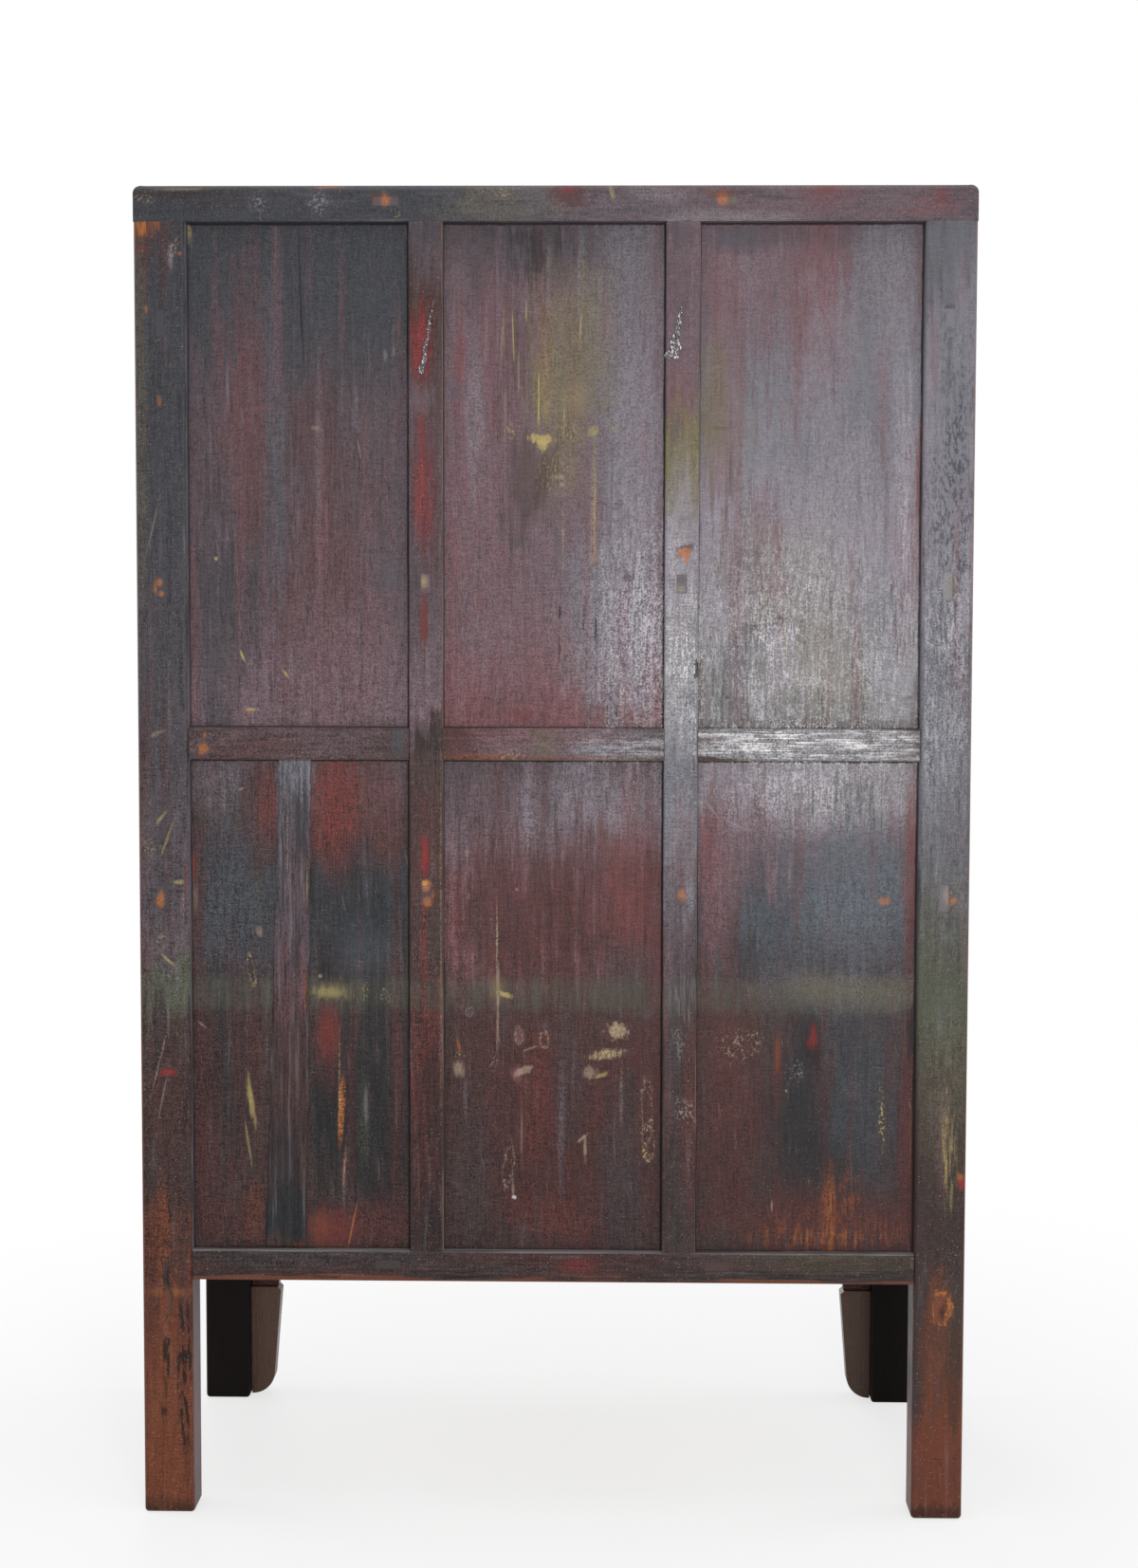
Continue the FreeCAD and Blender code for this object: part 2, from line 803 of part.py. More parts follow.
apron_y = (apron_front, apron_front + size("apron_thickness"))
piece("front_apron", extruded("apron_board", "y", *apron_y, apron_outline()))
bracket_y = (apron_front, apron_front + size("bracket_thickness"))
for word, side in SIDES.items():
    node = f"{word}_apron_bracket"
    foot = inner - size("bracket_foot_width")
    top = inner - size("bracket_top_width")
    outline = [
        Corner(side * inner, 0),
        Corner(side * inner, size("bracket_height")),
        Corner(side * apron_ends, size("bracket_height")),
        Corner(side * top, size("bracket_height") - size("bracket_cusp")),
        Corner(side * foot, size("bracket_foot_height"), size("bracket_foot_width"), side),
    ]
    outline[4].radius = bowed((foot, size("bracket_foot_height")), (inner, length(0)), size("apron_bow"))
    piece(node, extruded(node + "_board", "y", *bracket_y, outline))


# The floor, its braces, and the boards over the drawers

def boards(node, y, z):
    """Boards over the whole case, notched round the legs."""
    middle = block(node + "_middle", (-inner, inner), y, z)
    made = piece(node, middle)
    made.tenons.append(block(node + "_ends", (-side_inside, side_inside), side_y, z))
    return made


for side in SIDES.values():
    brace("floor_braces", side, floor_low, (front_frame, back_frame), front_bottom_rail, back_bottom_rail)

floor_y = (front_frame - size("floor_lap"), back_frame + size("floor_lap"))
floor_boards = boards("floor_boards", floor_y, (floor_low, size("bottom_rail_top")))
floor_rebate = block("floor_rebate", (-inner, inner), floor_y, (floor_low, size("bottom_rail_top")))
front_bottom_rail.cuts.append(floor_rebate)
back_bottom_rail.cuts.append(floor_rebate)

dust_low = size("drawer_rail_top") - size("floor_thickness")
boards("dust_boards", (front_frame, back_frame), (dust_low, size("drawer_rail_top")))
dust_bearer_z = (drawer_rail_low, dust_low)


def bearer(name, side, y, z, front_piece):
    """A bearer from a front rail to a muntin, with a tenon that shows in the muntin's back."""
    made = piece("shelf_bearers", block(name, around(side * muntin_middle, size("bearer_width")), y, z))
    x = around(side * muntin_middle, size("bearer_tenon_width"))
    tenon_z = around((z[0] + z[1]) / 2, size("bearer_tenon_height"))
    blind = block(name + "_blind_tenon", x, (y[0] - size("bearer_tenon_length"), y[0]), tenon_z)
    made.tenon(blind, front_piece)
    return made, x, tenon_z


for word, side in SIDES.items():
    name = f"dust_bearer_{word}"
    made, x, tenon_z = bearer(name, side, (front_frame, back_frame), dust_bearer_z, drawer_rail)
    hidden = block(name + "_hidden_tenon", x, (back_frame, back_frame + size("bearer_tenon_length")), tenon_z)
    made.tenon(hidden, muntins[side])
    name = f"dust_ledger_{word}"
    x = across(side, side_inside - size("batten_depth"), side_inside)
    ledger = piece("shelf_bearers", block(name, x, side_y, dust_bearer_z))
    x = around(side * leg_middle, size("batten_tenon_width"))
    reach = size("bearer_tenon_length")
    ledger.tenon(block(name + "_front_tenon", x, (front_post - reach, front_post), dust_bearer_z), front_legs[side])
    ledger.tenon(block(name + "_back_tenon", x, (rear_post, rear_post + reach), dust_bearer_z), rear_legs[side])


# Two shelves on bearers, each behind a rail that the doors close against

shelf_rail_y = (front_post - size("shelf_rail_depth"), front_post)
for level, level_z in shelf_levels.items():
    z = (level_z + size("shelf_thickness") - size("shelf_rail_height"), level_z + size("shelf_thickness"))
    name = f"{level}_shelf_rail"
    stock = bar(name + "_bar", "x", (-inner, inner), shelf_rail_y, z, size("rail_arris"))
    shelf_rail = piece("shelf_rails", stock)
    for side in SIDES.values():
        x = across(side, inner, inner + size("rail_tenon_length"))
        shelf_rail.tenon(stub(name + "_tenon", x, shelf_rail_y, shouldered(z)), front_legs[side])
    for word, side in SIDES.items():
        name = f"{level}_bearer_{word}"
        bearer_z = (level_z - size("bearer_height"), level_z)
        made, x, tenon_z = bearer(name, side, (front_post, back_frame), bearer_z, shelf_rail)
        made.tenons.append(block(name + "_through_tenon", x, (back_frame, back - size("tenon_recess")), tenon_z))
        muntins[side].cuts.append(block(name + "_through_mortise", x, back_depth, tenon_z))
    boards(f"{level}_shelf", (front_post, back_frame), (level_z, level_z + size("shelf_thickness")))


# Guides beside and between the drawers

guide_z = (size("bottom_rail_top"), size("bottom_rail_top") + size("guide_height"))
piece("drawer_guides", block("middle_guide", divider_x, (front_frame, back_frame), guide_z))
for word, side in SIDES.items():
    x = across(side, inner, inner + size("guide_width"))
    piece("drawer_guides", block(f"{word}_guide", x, side_y, guide_z))


# The brass: rings in eyes, hinges and the round plate

TOWARDS_FRONT = FreeCAD.Rotation(FreeCAD.Vector(1, 0, 0), 90)
ACROSS = FreeCAD.Rotation(FreeCAD.Vector(0, 1, 0), 90)
eye_y = front - eye_reach


def ring_eye(node, x, z, wood, plate, wood_back):
    """The eye that a ring hangs in: its shank goes through the plate and the wood behind it."""
    loop = place(torus(node + "_loop", eye_radius, size("eye_wire"), ACROSS), x, eye_y, z)
    shank_start = eye_y + eye_radius
    shank = cylinder(node + "_shank", size("eye_wire"), wood_back - shank_start, TOWARDS_FRONT)
    place(shank, x, wood_back, z)
    eye = fused(node + "_eye", [loop, shank])
    piece(node, eye)
    for holder in (wood, plate):
        holder.cuts.append(eye)


def ring_pull(node, x, z, radius):
    """A ring that hangs from its eye."""
    ring = torus(node + "_ring", radius, size("pull_wire"), TOWARDS_FRONT)
    piece(node, place(ring, x, eye_y, z - radius))


def round_plate(name, x, z, radius):
    """A flat round plate with a raised rim."""
    rise = size("plate_rim_rise")
    disc = place(cylinder(name + "_disc", radius, size("plate_thickness") + rise, TOWARDS_FRONT), x, front, z)
    dish = cylinder(name + "_dish", radius - size("plate_rim_width"), 2 * rise, TOWARDS_FRONT)
    place(dish, x, front - size("plate_thickness"), z)
    return cut_away(name + "_dished", disc, [dish])


def hinge_height_ranges(middle):
    """The three knuckles of a hinge: low and high ones on the door, the middle one on the leg."""
    third = size("hinge_height") / 3
    low = middle - size("hinge_height") / 2
    gap = size("knuckle_gap")
    return (low, low + third), (low + third + gap, low + 2 * third - gap), (low + 2 * third, low + 3 * third)


barrel_y = front - size("barrel_radius") - size("barrel_standoff")
tab_y = (front - size("hinge_plate"), front - size("barrel_standoff"))


def hinge_half(name, side, inward, middle, knuckles):
    """A leaf on the wood and the knuckles that its tabs carry."""
    axis = side * (inner - size("door_gap") / 2)
    clear = size("barrel_radius") + size("knuckle_gap")
    direction = -side if inward else side
    near, far = axis + direction * clear, axis + direction * (clear + size("hinge_leaf_width"))
    leaf_x = (near, far) if direction > 0 else (far, near)
    tab_x = (axis, near) if direction > 0 else (near, axis)
    leaf_z = around(middle, size("hinge_height"))
    items = [block(name + "_leaf", leaf_x, (front - size("hinge_plate"), front), leaf_z)]
    for low, high in knuckles:
        knuckle = cylinder(name + "_knuckle", size("barrel_radius"), high - low)
        items.append(place(knuckle, axis, barrel_y, low))
        items.append(block(name + "_tab", tab_x, tab_y, (low, high)))
    return items, axis, leaf_z


def hinge(side, door_node, middle):
    """A hinge in two halves: the pin is fast in the door's knuckles and turns in the leg's."""
    low, centre, high = hinge_height_ranges(middle)
    items, axis, leaf_z = hinge_half("leg_leaf", side, False, middle, [centre])
    bore = cylinder("pin_bore", size("pin_radius") + size("pin_clearance"), size("hinge_height"))
    place(bore, axis, barrel_y, leaf_z[0])
    fixed = piece("hinge_leaves_on_legs", fused("leg_leaf_with_knuckle", items))
    fixed.cuts.append(bore)
    items, axis, leaf_z = hinge_half("door_leaf", side, True, middle, [low, high])
    pin = place(cylinder("hinge_pin", size("pin_radius"), size("hinge_height")), axis, barrel_y, leaf_z[0])
    piece(door_node, fused("door_leaf_with_pin", items + [pin]))


# The doors: mitred frames round one wide panel, with battens behind

door_z = (size("drawer_rail_top") + size("door_gap"), leg_top - size("door_gap"))
door_y = (front, front + size("door_thickness"))
door_back = front + size("door_thickness")


def mitred(name, span, inside, horizontal, low_end):
    """One member of a door frame: a long outer edge, a short inner edge, both eased in front."""
    (x0, x1), (z0, z1) = span
    (u0, u1), (v0, v1) = inside
    if horizontal:
        level, inner_level = (z0, v0) if low_end else (z1, v1)
        corners = [Corner(x0, level), Corner(x1, level), Corner(u1, inner_level), Corner(u0, inner_level)]
    else:
        edge, inner_edge = (x0, u0) if low_end else (x1, u1)
        corners = [Corner(edge, z0), Corner(edge, z1), Corner(inner_edge, v1), Corner(inner_edge, v0)]
    long_edge = (corners[0].point() + corners[1].point()) / 2
    short_edge = (corners[2].point() + corners[3].point()) / 2
    middles = [FreeCAD.Vector(point.x, 0, point.y) for point in (long_edge, short_edge)]
    return rounded(extruded(name, "y", *door_y, corners), middles, "door_arris")


def door(word, side):
    """A door with its frame, panel, hinges, half of the lock plate and its ring."""
    frame_node = f"{word}_door_frame"
    x = across(side, size("door_meeting_gap") / 2, inner - size("door_gap"))
    stile = size("stile_width")
    inside_x = (x[0] + stile, x[1] - stile)
    inside_z = (door_z[0] + stile, door_z[1] - stile)
    span, inside = (x, door_z), (inside_x, inside_z)
    members = {}
    for name, horizontal, low_end in (
        ("stile_low_x", False, True),
        ("stile_high_x", False, False),
        ("rail_low", True, True),
        ("rail_high", True, False),
    ):
        stock = mitred(f"{word}_{name}", span, inside, horizontal, low_end)
        members[name] = piece(frame_node, stock)
    stiles = [members["stile_low_x"], members["stile_high_x"]]
    rails = [members["rail_low"], members["rail_high"]]
    tenon_inset = size("door_tenon_inset")
    tenon_y = around((door_y[0] + door_y[1]) / 2, size("tenon_thickness"))
    tenon_places = {
        "rail_low": (door_z[0] + tenon_inset, inside_z[0] - tenon_inset),
        "rail_high": (inside_z[1] + tenon_inset, door_z[1] - tenon_inset),
    }
    for name, tenon_z in tenon_places.items():
        low_x = (x[0] + tenon_inset, inside_x[0])
        high_x = (inside_x[1], x[1] - tenon_inset)
        members[name].tenon(block(f"{word}_{name}_tenon", low_x, tenon_y, tenon_z), stiles[0])
        members[name].tenon(block(f"{word}_{name}_tenon", high_x, tenon_y, tenon_z), stiles[1])
    face = front + size("door_panel_recess")
    grooved_panel(f"{word}_door_panel", inside_x, face, 1, inside_z, stiles, rails)
    batten_y = (face + size("panel_thickness"), door_back)
    batten_height = size("door_batten_height")
    step = (inside_z[1] - inside_z[0]) / (size("door_battens") + 1)
    for number in range(SIZES["door_battens"]):
        batten_z = around(inside_z[0] + (number + 1) * step, batten_height)
        batten = piece(frame_node, block(f"{word}_door_batten", inside_x, batten_y, batten_z))
        reach = size("door_batten_tenon")
        stub_y = (batten_y[0] + size("panel_play"), batten_y[1] - size("panel_play"))
        for stub_x, stile_piece in (
            ((inside_x[0] - reach, inside_x[0]), stiles[0]),
            ((inside_x[1], inside_x[1] + reach), stiles[1]),
        ):
            batten.tenon(block(f"{word}_door_batten_tenon", stub_x, stub_y, batten_z), stile_piece)
    for middle in (door_z[0] + size("hinge_inset"), door_z[1] - size("hinge_inset")):
        hinge(side, f"{word}_door_hinges", middle)
    height = size("lock_plate_height")
    plate_radius = size("lock_plate_radius")
    whole = round_plate(f"{word}_lock_plate_disc", 0, height, plate_radius)
    spare_x = across(side, -2 * plate_radius, size("door_meeting_gap") / 2)
    spare_y = (front - 2 * eye_reach, front + eye_reach)
    spare = block(f"{word}_plate_spare", spare_x, spare_y, around(height, 3 * plate_radius))
    plate = piece(f"{word}_lock_plate", cut_away(f"{word}_half_plate", whole, [spare]))
    eye_x = side * size("pull_offset")
    meeting_stile = stiles[0] if side > 0 else stiles[1]
    ring_eye(f"{word}_lock_plate", eye_x, height, meeting_stile, plate, door_back)
    ring_pull(f"{word}_door_pull", eye_x, height, size("pull_radius"))


for word, side in SIDES.items():
    door(word, side)


# The drawers

def dovetails(name, x, y_base, y_end, z):
    """The tails at the end of a drawer side: narrow at their base, and wider at their end."""
    pitch = (z[1] - z[0]) / size("tail_count")
    tails = []
    for number in range(SIZES["tail_count"]):
        middle = z[0] + (number + 0.5) * pitch
        base = around(middle, pitch - size("tail_spacing") - size("tail_splay"))
        end = around(middle, pitch - size("tail_spacing") + size("tail_splay"))
        tails.append(extruded(f"{name}_{number}", "x", *x, [
            Corner(y_base, base[0]),
            Corner(y_end, end[0]),
            Corner(y_end, end[1]),
            Corner(y_base, base[1]),
        ]))
    return tails


def drawer(word, side):
    """A drawer: its sides are dovetailed into the front and the back, its bottom lies in grooves."""
    x = across(side, size("divider_width") / 2 + size("drawer_gap"), inner - size("drawer_gap"))
    low = size("bottom_rail_top") + size("drawer_slide_play")
    front_z = (low, drawer_rail_low - size("drawer_top_play"))
    inside_y = front + size("drawer_front_thickness")
    end_y = back_frame - size("drawer_back_gap")
    face = piece(f"{word}_drawer_front", block(f"{word}_drawer_face", x, (front, inside_y), front_z))
    box_node = f"{word}_drawer_box"
    side_z = (low, low + size("drawer_side_height"))
    thickness = size("drawer_side_thickness")
    inside_x = (x[0] + thickness, x[1] - thickness)
    bottom_low = low + size("drawer_bottom_rise")
    bottom_z = (bottom_low, bottom_low + size("drawer_bottom_thickness"))
    back_z = (bottom_z[1], side_z[1])
    back_start = end_y - size("drawer_back_thickness")
    back_board = piece(box_node, block(f"{word}_drawer_back", inside_x, (back_start, end_y), back_z))
    outsides = []
    for name, side_x in (("low_x", (x[0], inside_x[0])), ("high_x", (inside_x[1], x[1]))):
        board = piece(box_node, block(f"{word}_drawer_side_{name}", side_x, (inside_y, back_start), side_z))
        lap_end = inside_y - size("drawer_lap")
        for tail in dovetails(f"{word}_drawer_tail_{name}", side_x, inside_y, lap_end, side_z):
            board.tenon(tail, face)
        board.tenons.append(block(f"{word}_drawer_end_{name}", side_x, (back_start, end_y), (low, back_z[0])))
        for tail in dovetails(f"{word}_back_tail_{name}", side_x, back_start, end_y, back_z):
            board.tenons.append(tail)
        pins = cut_away(
            f"{word}_back_pins_{name}",
            block(f"{word}_back_end_{name}", side_x, (back_start, end_y), back_z),
            dovetails(f"{word}_back_socket_{name}", side_x, back_start, end_y, back_z),
        )
        back_board.tenons.append(pins)
        outsides.append(board)
    groove = size("drawer_bottom_groove")
    bottom = block(
        f"{word}_drawer_bottom",
        (inside_x[0] - groove, inside_x[1] + groove),
        (inside_y - groove, end_y),
        bottom_z,
    )
    piece(box_node, bottom)
    for receiver in outsides + [face]:
        receiver.cuts.append(bottom)
    middle_x = (x[0] + x[1]) / 2
    middle_z = (front_z[0] + front_z[1]) / 2 + size("drawer_pull_radius") / 2
    disc = round_plate(f"{word}_drawer_plate_disc", middle_x, middle_z, size("drawer_plate_radius"))
    plate = piece(f"{word}_drawer_plate", disc)
    ring_eye(f"{word}_drawer_plate", middle_x, middle_z, face, plate, inside_y)
    ring_pull(f"{word}_drawer_pull", middle_x, middle_z, size("drawer_pull_radius"))


for word, side in SIDES.items():
    drawer(word, side)


# Each node is one finished piece or a group of like ones

def node_object(node, members):
    """The object that carries a node's name."""
    made = [member.finished(f"{node}_{number}") for number, member in enumerate(members, start=1)]
    if len(made) == 1:
        return made[0]
    group = doc.addObject("Part::Compound", node + "_group")
    group.Links = made
    return group


finished = {node: node_object(node, members) for node, members in nodes.items()}
doc.recompute()
for node, item in finished.items():
    item.Label = node
for item in doc.Objects:
    if "Invalid" in item.State or "Error" in item.State:
        raise RuntimeError(f"{item.Label} failed: {item.State}")
total = 0
for node, item in finished.items():
    shape = item.Shape
    if shape.isNull() or not shape.isValid() or not shape.Solids:
        raise RuntimeError(f"{node} has no valid solid")
    if len(shape.Solids) != len(nodes[node]):
        raise RuntimeError(f"{node} has {len(shape.Solids)} solids in place of {len(nodes[node])}")
    total += len(shape.Solids)

os.makedirs("parts", exist_ok=True)
for node, item in finished.items():
    item.Shape.exportStep(f"parts/{node}.step")
print(len(finished), "nodes,", total, "solids")
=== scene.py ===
import math
from collections import namedtuple
from functools import partial

import bmesh
import bpy
from bpy.props import FloatProperty, FloatVectorProperty, IntProperty, PointerProperty
from mathutils import Euler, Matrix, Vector, noise


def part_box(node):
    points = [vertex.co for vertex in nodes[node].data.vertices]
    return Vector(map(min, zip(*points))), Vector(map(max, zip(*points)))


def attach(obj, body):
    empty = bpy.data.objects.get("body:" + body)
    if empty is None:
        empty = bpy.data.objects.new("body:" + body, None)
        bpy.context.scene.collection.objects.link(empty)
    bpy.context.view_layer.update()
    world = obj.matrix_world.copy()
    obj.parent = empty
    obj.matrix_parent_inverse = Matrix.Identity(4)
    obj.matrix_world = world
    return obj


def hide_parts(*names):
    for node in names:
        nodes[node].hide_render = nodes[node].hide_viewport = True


bl_info = {
    "name": "Lacquered wedding cabinet",
    "version": (1, 0, 0),
    "blender": (4, 5, 0),
    "location": "View3D > Sidebar > Cabinet",
    "description": "Lays the lacquer, the bare wood, the brass and the seam cloth on the cabinet's frame",
    "category": "Object",
}

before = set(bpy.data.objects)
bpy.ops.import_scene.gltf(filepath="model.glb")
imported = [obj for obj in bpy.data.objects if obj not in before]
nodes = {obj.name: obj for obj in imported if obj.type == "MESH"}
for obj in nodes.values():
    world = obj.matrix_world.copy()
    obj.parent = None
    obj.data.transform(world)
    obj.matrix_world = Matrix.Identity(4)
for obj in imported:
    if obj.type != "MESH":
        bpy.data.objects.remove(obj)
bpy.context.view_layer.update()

# Places that the finishes need, in metres, read off the frame

HALF_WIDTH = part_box("rear_right_leg")[1].x
LEG_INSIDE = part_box("rear_right_leg")[0].x
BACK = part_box("rear_right_leg")[1].y
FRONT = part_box("front_right_leg")[0].y
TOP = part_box("top_back_rail")[1].z
LEG_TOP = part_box("top_back_rail")[0].z
PANEL_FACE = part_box("back_upper_middle_panel")[1].y
SIDE_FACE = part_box("right_side_panel")[1].x
FLOOR_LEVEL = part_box("floor_boards")[1].z

# Sizes in metres that the frame doesn't give, with the space that the inside has above the legs

TONGUE = 0.007
HAIR = 0.0004
FRONT_FRAME_DEPTH = 0.027
TOP_SPACE = 0.03
STAIN_LEVEL = 0.737

# Where a colour begins and ends, in metres from a face, from an edge or from the stain line

END_SKIN = (0.003, 0.002)
DARK_BEHIND = (0.018, 0.028)
DARK_WITHIN = (0.003, 0.001)
STAIN_HALF = (0.012, 0.032)

# The brass in metres: the hinge axis from the middle, the leaves from their axis, the nails from an edge

AXIS_REACH = 0.503
LEAF_START = 0.0065
LEAF_WIDTH = 0.046
LEAF_HEIGHT = 0.110
LEAF_THICKNESS = 0.002
LEAF_INSET = 0.008
PLATE_NAIL_INSET = 0.013

# Half the arc of a lock plate's nails in degrees, and a drawer's nails as shares of its plate and of a nail

PLATE_NAIL_SPREAD = 72
DRAWER_NAIL_REACH = 0.62
DRAWER_NAIL_SIZE = 0.8

# The seam cloth in metres: how far its edges wander and tear, and its ripples, fold and lifted edges

WANDER = 0.0022
TORN = 0.0012
RIPPLE = 0.0004
FOLD = 0.0007
LIFT = 0.0006

# Shine and roughness

LACQUER_SHINE = 0.18
LEG_SHINE = 0.05
WOOD_SHINE = 0.3
SKIN_SHINE = 0.9
POLISH_ROUGHNESS = 0.24
WOOD_ROUGHNESS = 0.72
END_ROUGHNESS = 0.5
MARK_ROUGHNESS = 0.62
EDGE_ROUGHNESS = 0.6
BACK_GLOSS = 0.42
PLAIN_GLOSS = 0.36
FRONT_GLOSS = 0.30

# The photograph in its own pixels, which place the marks on the back, and the sensor in millimetres

PHOTO_WIDE = 1200
PHOTO_HIGH = 1653
SENSOR = 36.0


def linear(level):
    """One channel of a screen colour, 0 to 255, as the light that it stands for."""
    share = level / 255
    return share / 12.92 if share <= 0.04045 else ((share + 0.055) / 1.055) ** 2.4


def colour(name, description, red, green, blue):
    """A colour that the user can change, given as it looks on a screen."""
    default = (linear(red), linear(green), linear(blue))
    return FloatVectorProperty(
        name=name, description=description, default=default, subtype="COLOR", size=3, min=0, max=1
    )


def length(name, description, metres):
    """A length that the user can change."""
    return FloatProperty(name=name, description=description, default=metres, min=0, unit="LENGTH")


class LacquerColours(bpy.types.PropertyGroup):
    """The colours that the old lacquer shows"""

    night: colour("Night", "Blackest blue of the lower panels", 36, 38, 42)
    slate: colour("Slate", "Dark blue-grey of the unworn lacquer", 60, 61, 66)
    sea: colour("Sea", "Blue cast over the slate", 76, 84, 92)
    dusk: colour("Dusk", "Grey with a little red in it", 84, 72, 77)
    mauve: colour("Mauve", "Red lacquer under a grey haze", 104, 86, 92)
    pewter: colour("Pewter", "Middle grey of the right side", 112, 111, 118)
    lavender: colour("Lavender", "Haze at its palest", 138, 131, 140)
    # Ash is rubbed grey and painted sheen: it lightens the places where the key lamp's reflection lies.
    ash: colour("Ash", "Rubbed grey of the right side", 142, 140, 143)
    umber: colour("Umber", "Brown of the lower frame", 64, 49, 47)
    # Soot is dirt in cracks and also painted shade: inside the openings of the back panels, on the backs of
    # the front legs and in the creases of the blisters.
    soot: colour("Soot", "Dirt in cracks and corners", 20, 17, 16)
    oxblood: colour("Oxblood", "Dark red undercoat", 82, 44, 42)
    brick: colour("Brick", "Red undercoat where it shows plainly", 110, 50, 44)
    scarlet: colour("Scarlet", "Fresh red in the muntins", 138, 46, 47)
    rose: colour("Rose", "Red streaks under the haze", 114, 76, 80)
    olive: colour("Olive", "Stain of old oil and glue", 112, 104, 76)
    moss: colour("Moss", "Green-grey line left by something that stood against the back", 78, 80, 68)
    straw: colour("Straw", "Yellow flakes and drips", 176, 158, 102)
    bone: colour("Bone", "Pale flakes down to the ground coat", 158, 138, 120)
    amber: colour("Amber", "Bare orange wood at chips", 170, 104, 58)
    rust: colour("Rust", "Worn wood of feet and lower edges", 114, 63, 41)
    glare: colour("Glare", "Puckered lacquer where it catches the light", 216, 212, 222)
    cinnabar: colour("Cinnabar", "Red lacquer of the doors and drawers", 132, 34, 24)


class WoodColours(bpy.types.PropertyGroup):
    """The colours of the wood that was never lacquered"""

    plank: colour("Plank", "Bare board", 150, 112, 74)
    ring: colour("Ring", "Late wood and old stain", 92, 62, 38)
    dust: colour("Dust", "Grey dust in the pores", 126, 112, 96)


class BrassSettings(bpy.types.PropertyGroup):
    """The brass and its nails"""

    bright: colour("Bright", "Rubbed brass", 178, 142, 84)
    tarnish: colour("Tarnish", "Brown tarnish", 92, 68, 36)
    nail_radius: length("Nail radius", "Radius of a nail's head", 0.0030)
    leaf_nails: IntProperty(name="Leaf nails", description="Nails in each column of a leaf", default=3)
    plate_nails: IntProperty(name="Plate nails", description="Nails round half of a lock plate", default=6)


class ClothSettings(bpy.types.PropertyGroup):
    """The strip of cloth that is lacquered over a board joint"""

    width: length("Width", "Width that the strip was torn to", 0.048)
    thickness: length("Thickness", "Thickness with its lacquer", 0.0007)
    thread: length("Thread", "Distance between two threads", 0.0011)


class StageSettings(bpy.types.PropertyGroup):
    """The camera of the photograph and the studio light"""

    camera_place: FloatVectorProperty(
        name="Camera place",
        description="Where the photograph was taken from",
        default=(-0.0795, 3.4172, 1.2231),
        subtype="TRANSLATION",
        unit="LENGTH",
    )
    camera_turn: FloatVectorProperty(
        name="Camera turn",
        description="The camera's rotation",
        default=(math.radians(86.507), math.radians(-0.135), math.radians(181.0625)),
        subtype="EULER",
        unit="ROTATION",
    )
    focal_pixels: FloatProperty(
        name="Focal length", description="Focal length in the photograph's pixels", default=2400
    )
    sky: FloatProperty(name="Sky", description="Strength of the light from all round", default=0.5, min=0)
    key: FloatProperty(name="Key", description="Power of each large lamp", default=52, min=0, unit="POWER")


SETTINGS = {
    "cabinet_lacquer": LacquerColours,
    "cabinet_wood": WoodColours,
    "cabinet_brass": BrassSettings,
    "cabinet_cloth": ClothSettings,
    "cabinet_stage": StageSettings,
}


def tone(word, group="cabinet_lacquer"):
    """A named colour as a shader socket wants it."""
    return (*getattr(getattr(bpy.context.scene, group), word), 1.0)


def seen(across, down, depth=None):
    """The point of the back that the photograph shows at a pixel; the depth is a place along Y."""
    stage = bpy.context.scene.cabinet_stage
    turn = Euler(stage.camera_turn).to_matrix()
    ray = turn @ Vector((across - PHOTO_WIDE / 2, PHOTO_HIGH / 2 - down, -stage.focal_pixels))
    start = Vector(stage.camera_place)
    depth = PANEL_FACE if depth is None else depth
    return start + ray * ((depth - start.y) / ray.y)


# Shader sums written as Python sums

class Field:
    """A socket of a finish that sums can be written with."""

    def __init__(self, coat, socket):
        self.coat = coat
        self.socket = socket

    def math(self, operation, *others):
        inputs = dict(enumerate((self, *others)))
        return self.coat.node("ShaderNodeMath", {"operation": operation}, inputs)

    def __add__(self, other):
        return self.math("ADD", other)

    def __sub__(self, other):
        return self.math("SUBTRACT", other)

    def __mul__(self, other):
        return self.math("MULTIPLY", other)

    def __truediv__(self, other):
        return self.math("DIVIDE", other)

    def __rsub__(self, other):
        return self.coat.node("ShaderNodeMath", {"operation": "SUBTRACT"}, {0: other, 1: self})

    __radd__ = __add__
    __rmul__ = __mul__

    def size(self):
        return self.math("ABSOLUTE")

    def at_most(self, other):
        return self.math("MINIMUM", other)

    def at_least(self, other):
        return self.math("MAXIMUM", other)


class Graph:
    """A node tree, and the one way to add a node to it."""

    def __init__(self, tree):
        self.tree = tree
        self.tree.nodes.clear()

    def node(self, kind, settings=None, inputs=None, output=0):
        """Adds a node: first its settings, then the values or links of its sockets."""
        made = self.tree.nodes.new(kind)
        for word, value in (settings or {}).items():
            if word == "stops":
                self.set_stops(made.color_ramp, value)
            else:
                setattr(made, word, value)
        for key, value in (inputs or {}).items():
            if isinstance(value, Field):
                self.tree.links.new(value.socket, made.inputs[key])
            else:
                made.inputs[key].default_value = value
        return Field(self, made.outputs[output]) if made.outputs else None

    @staticmethod
    def set_stops(ramp, stops):
        """Gives a colour ramp its stops."""
        ramp.interpolation = "EASE"
        for number, (position, tint) in enumerate(stops):
            element = ramp.elements[number] if number < 2 else ramp.elements.new(position)
            element.position = position
            element.color = tint

    def shown_rays(self):
        """1 for what the camera, a reflection or a glass shows, and 0 for light."""
        kinds = ("Is Camera Ray", "Is Glossy Ray", "Is Transmission Ray")
        camera, glossy, through = (self.node("ShaderNodeLightPath", output=kind) for kind in kinds)
        return camera.at_least(glossy).at_least(through)


# Patterns that break a mark up: patch size in metres, detail, seed, and where the noise starts and is full

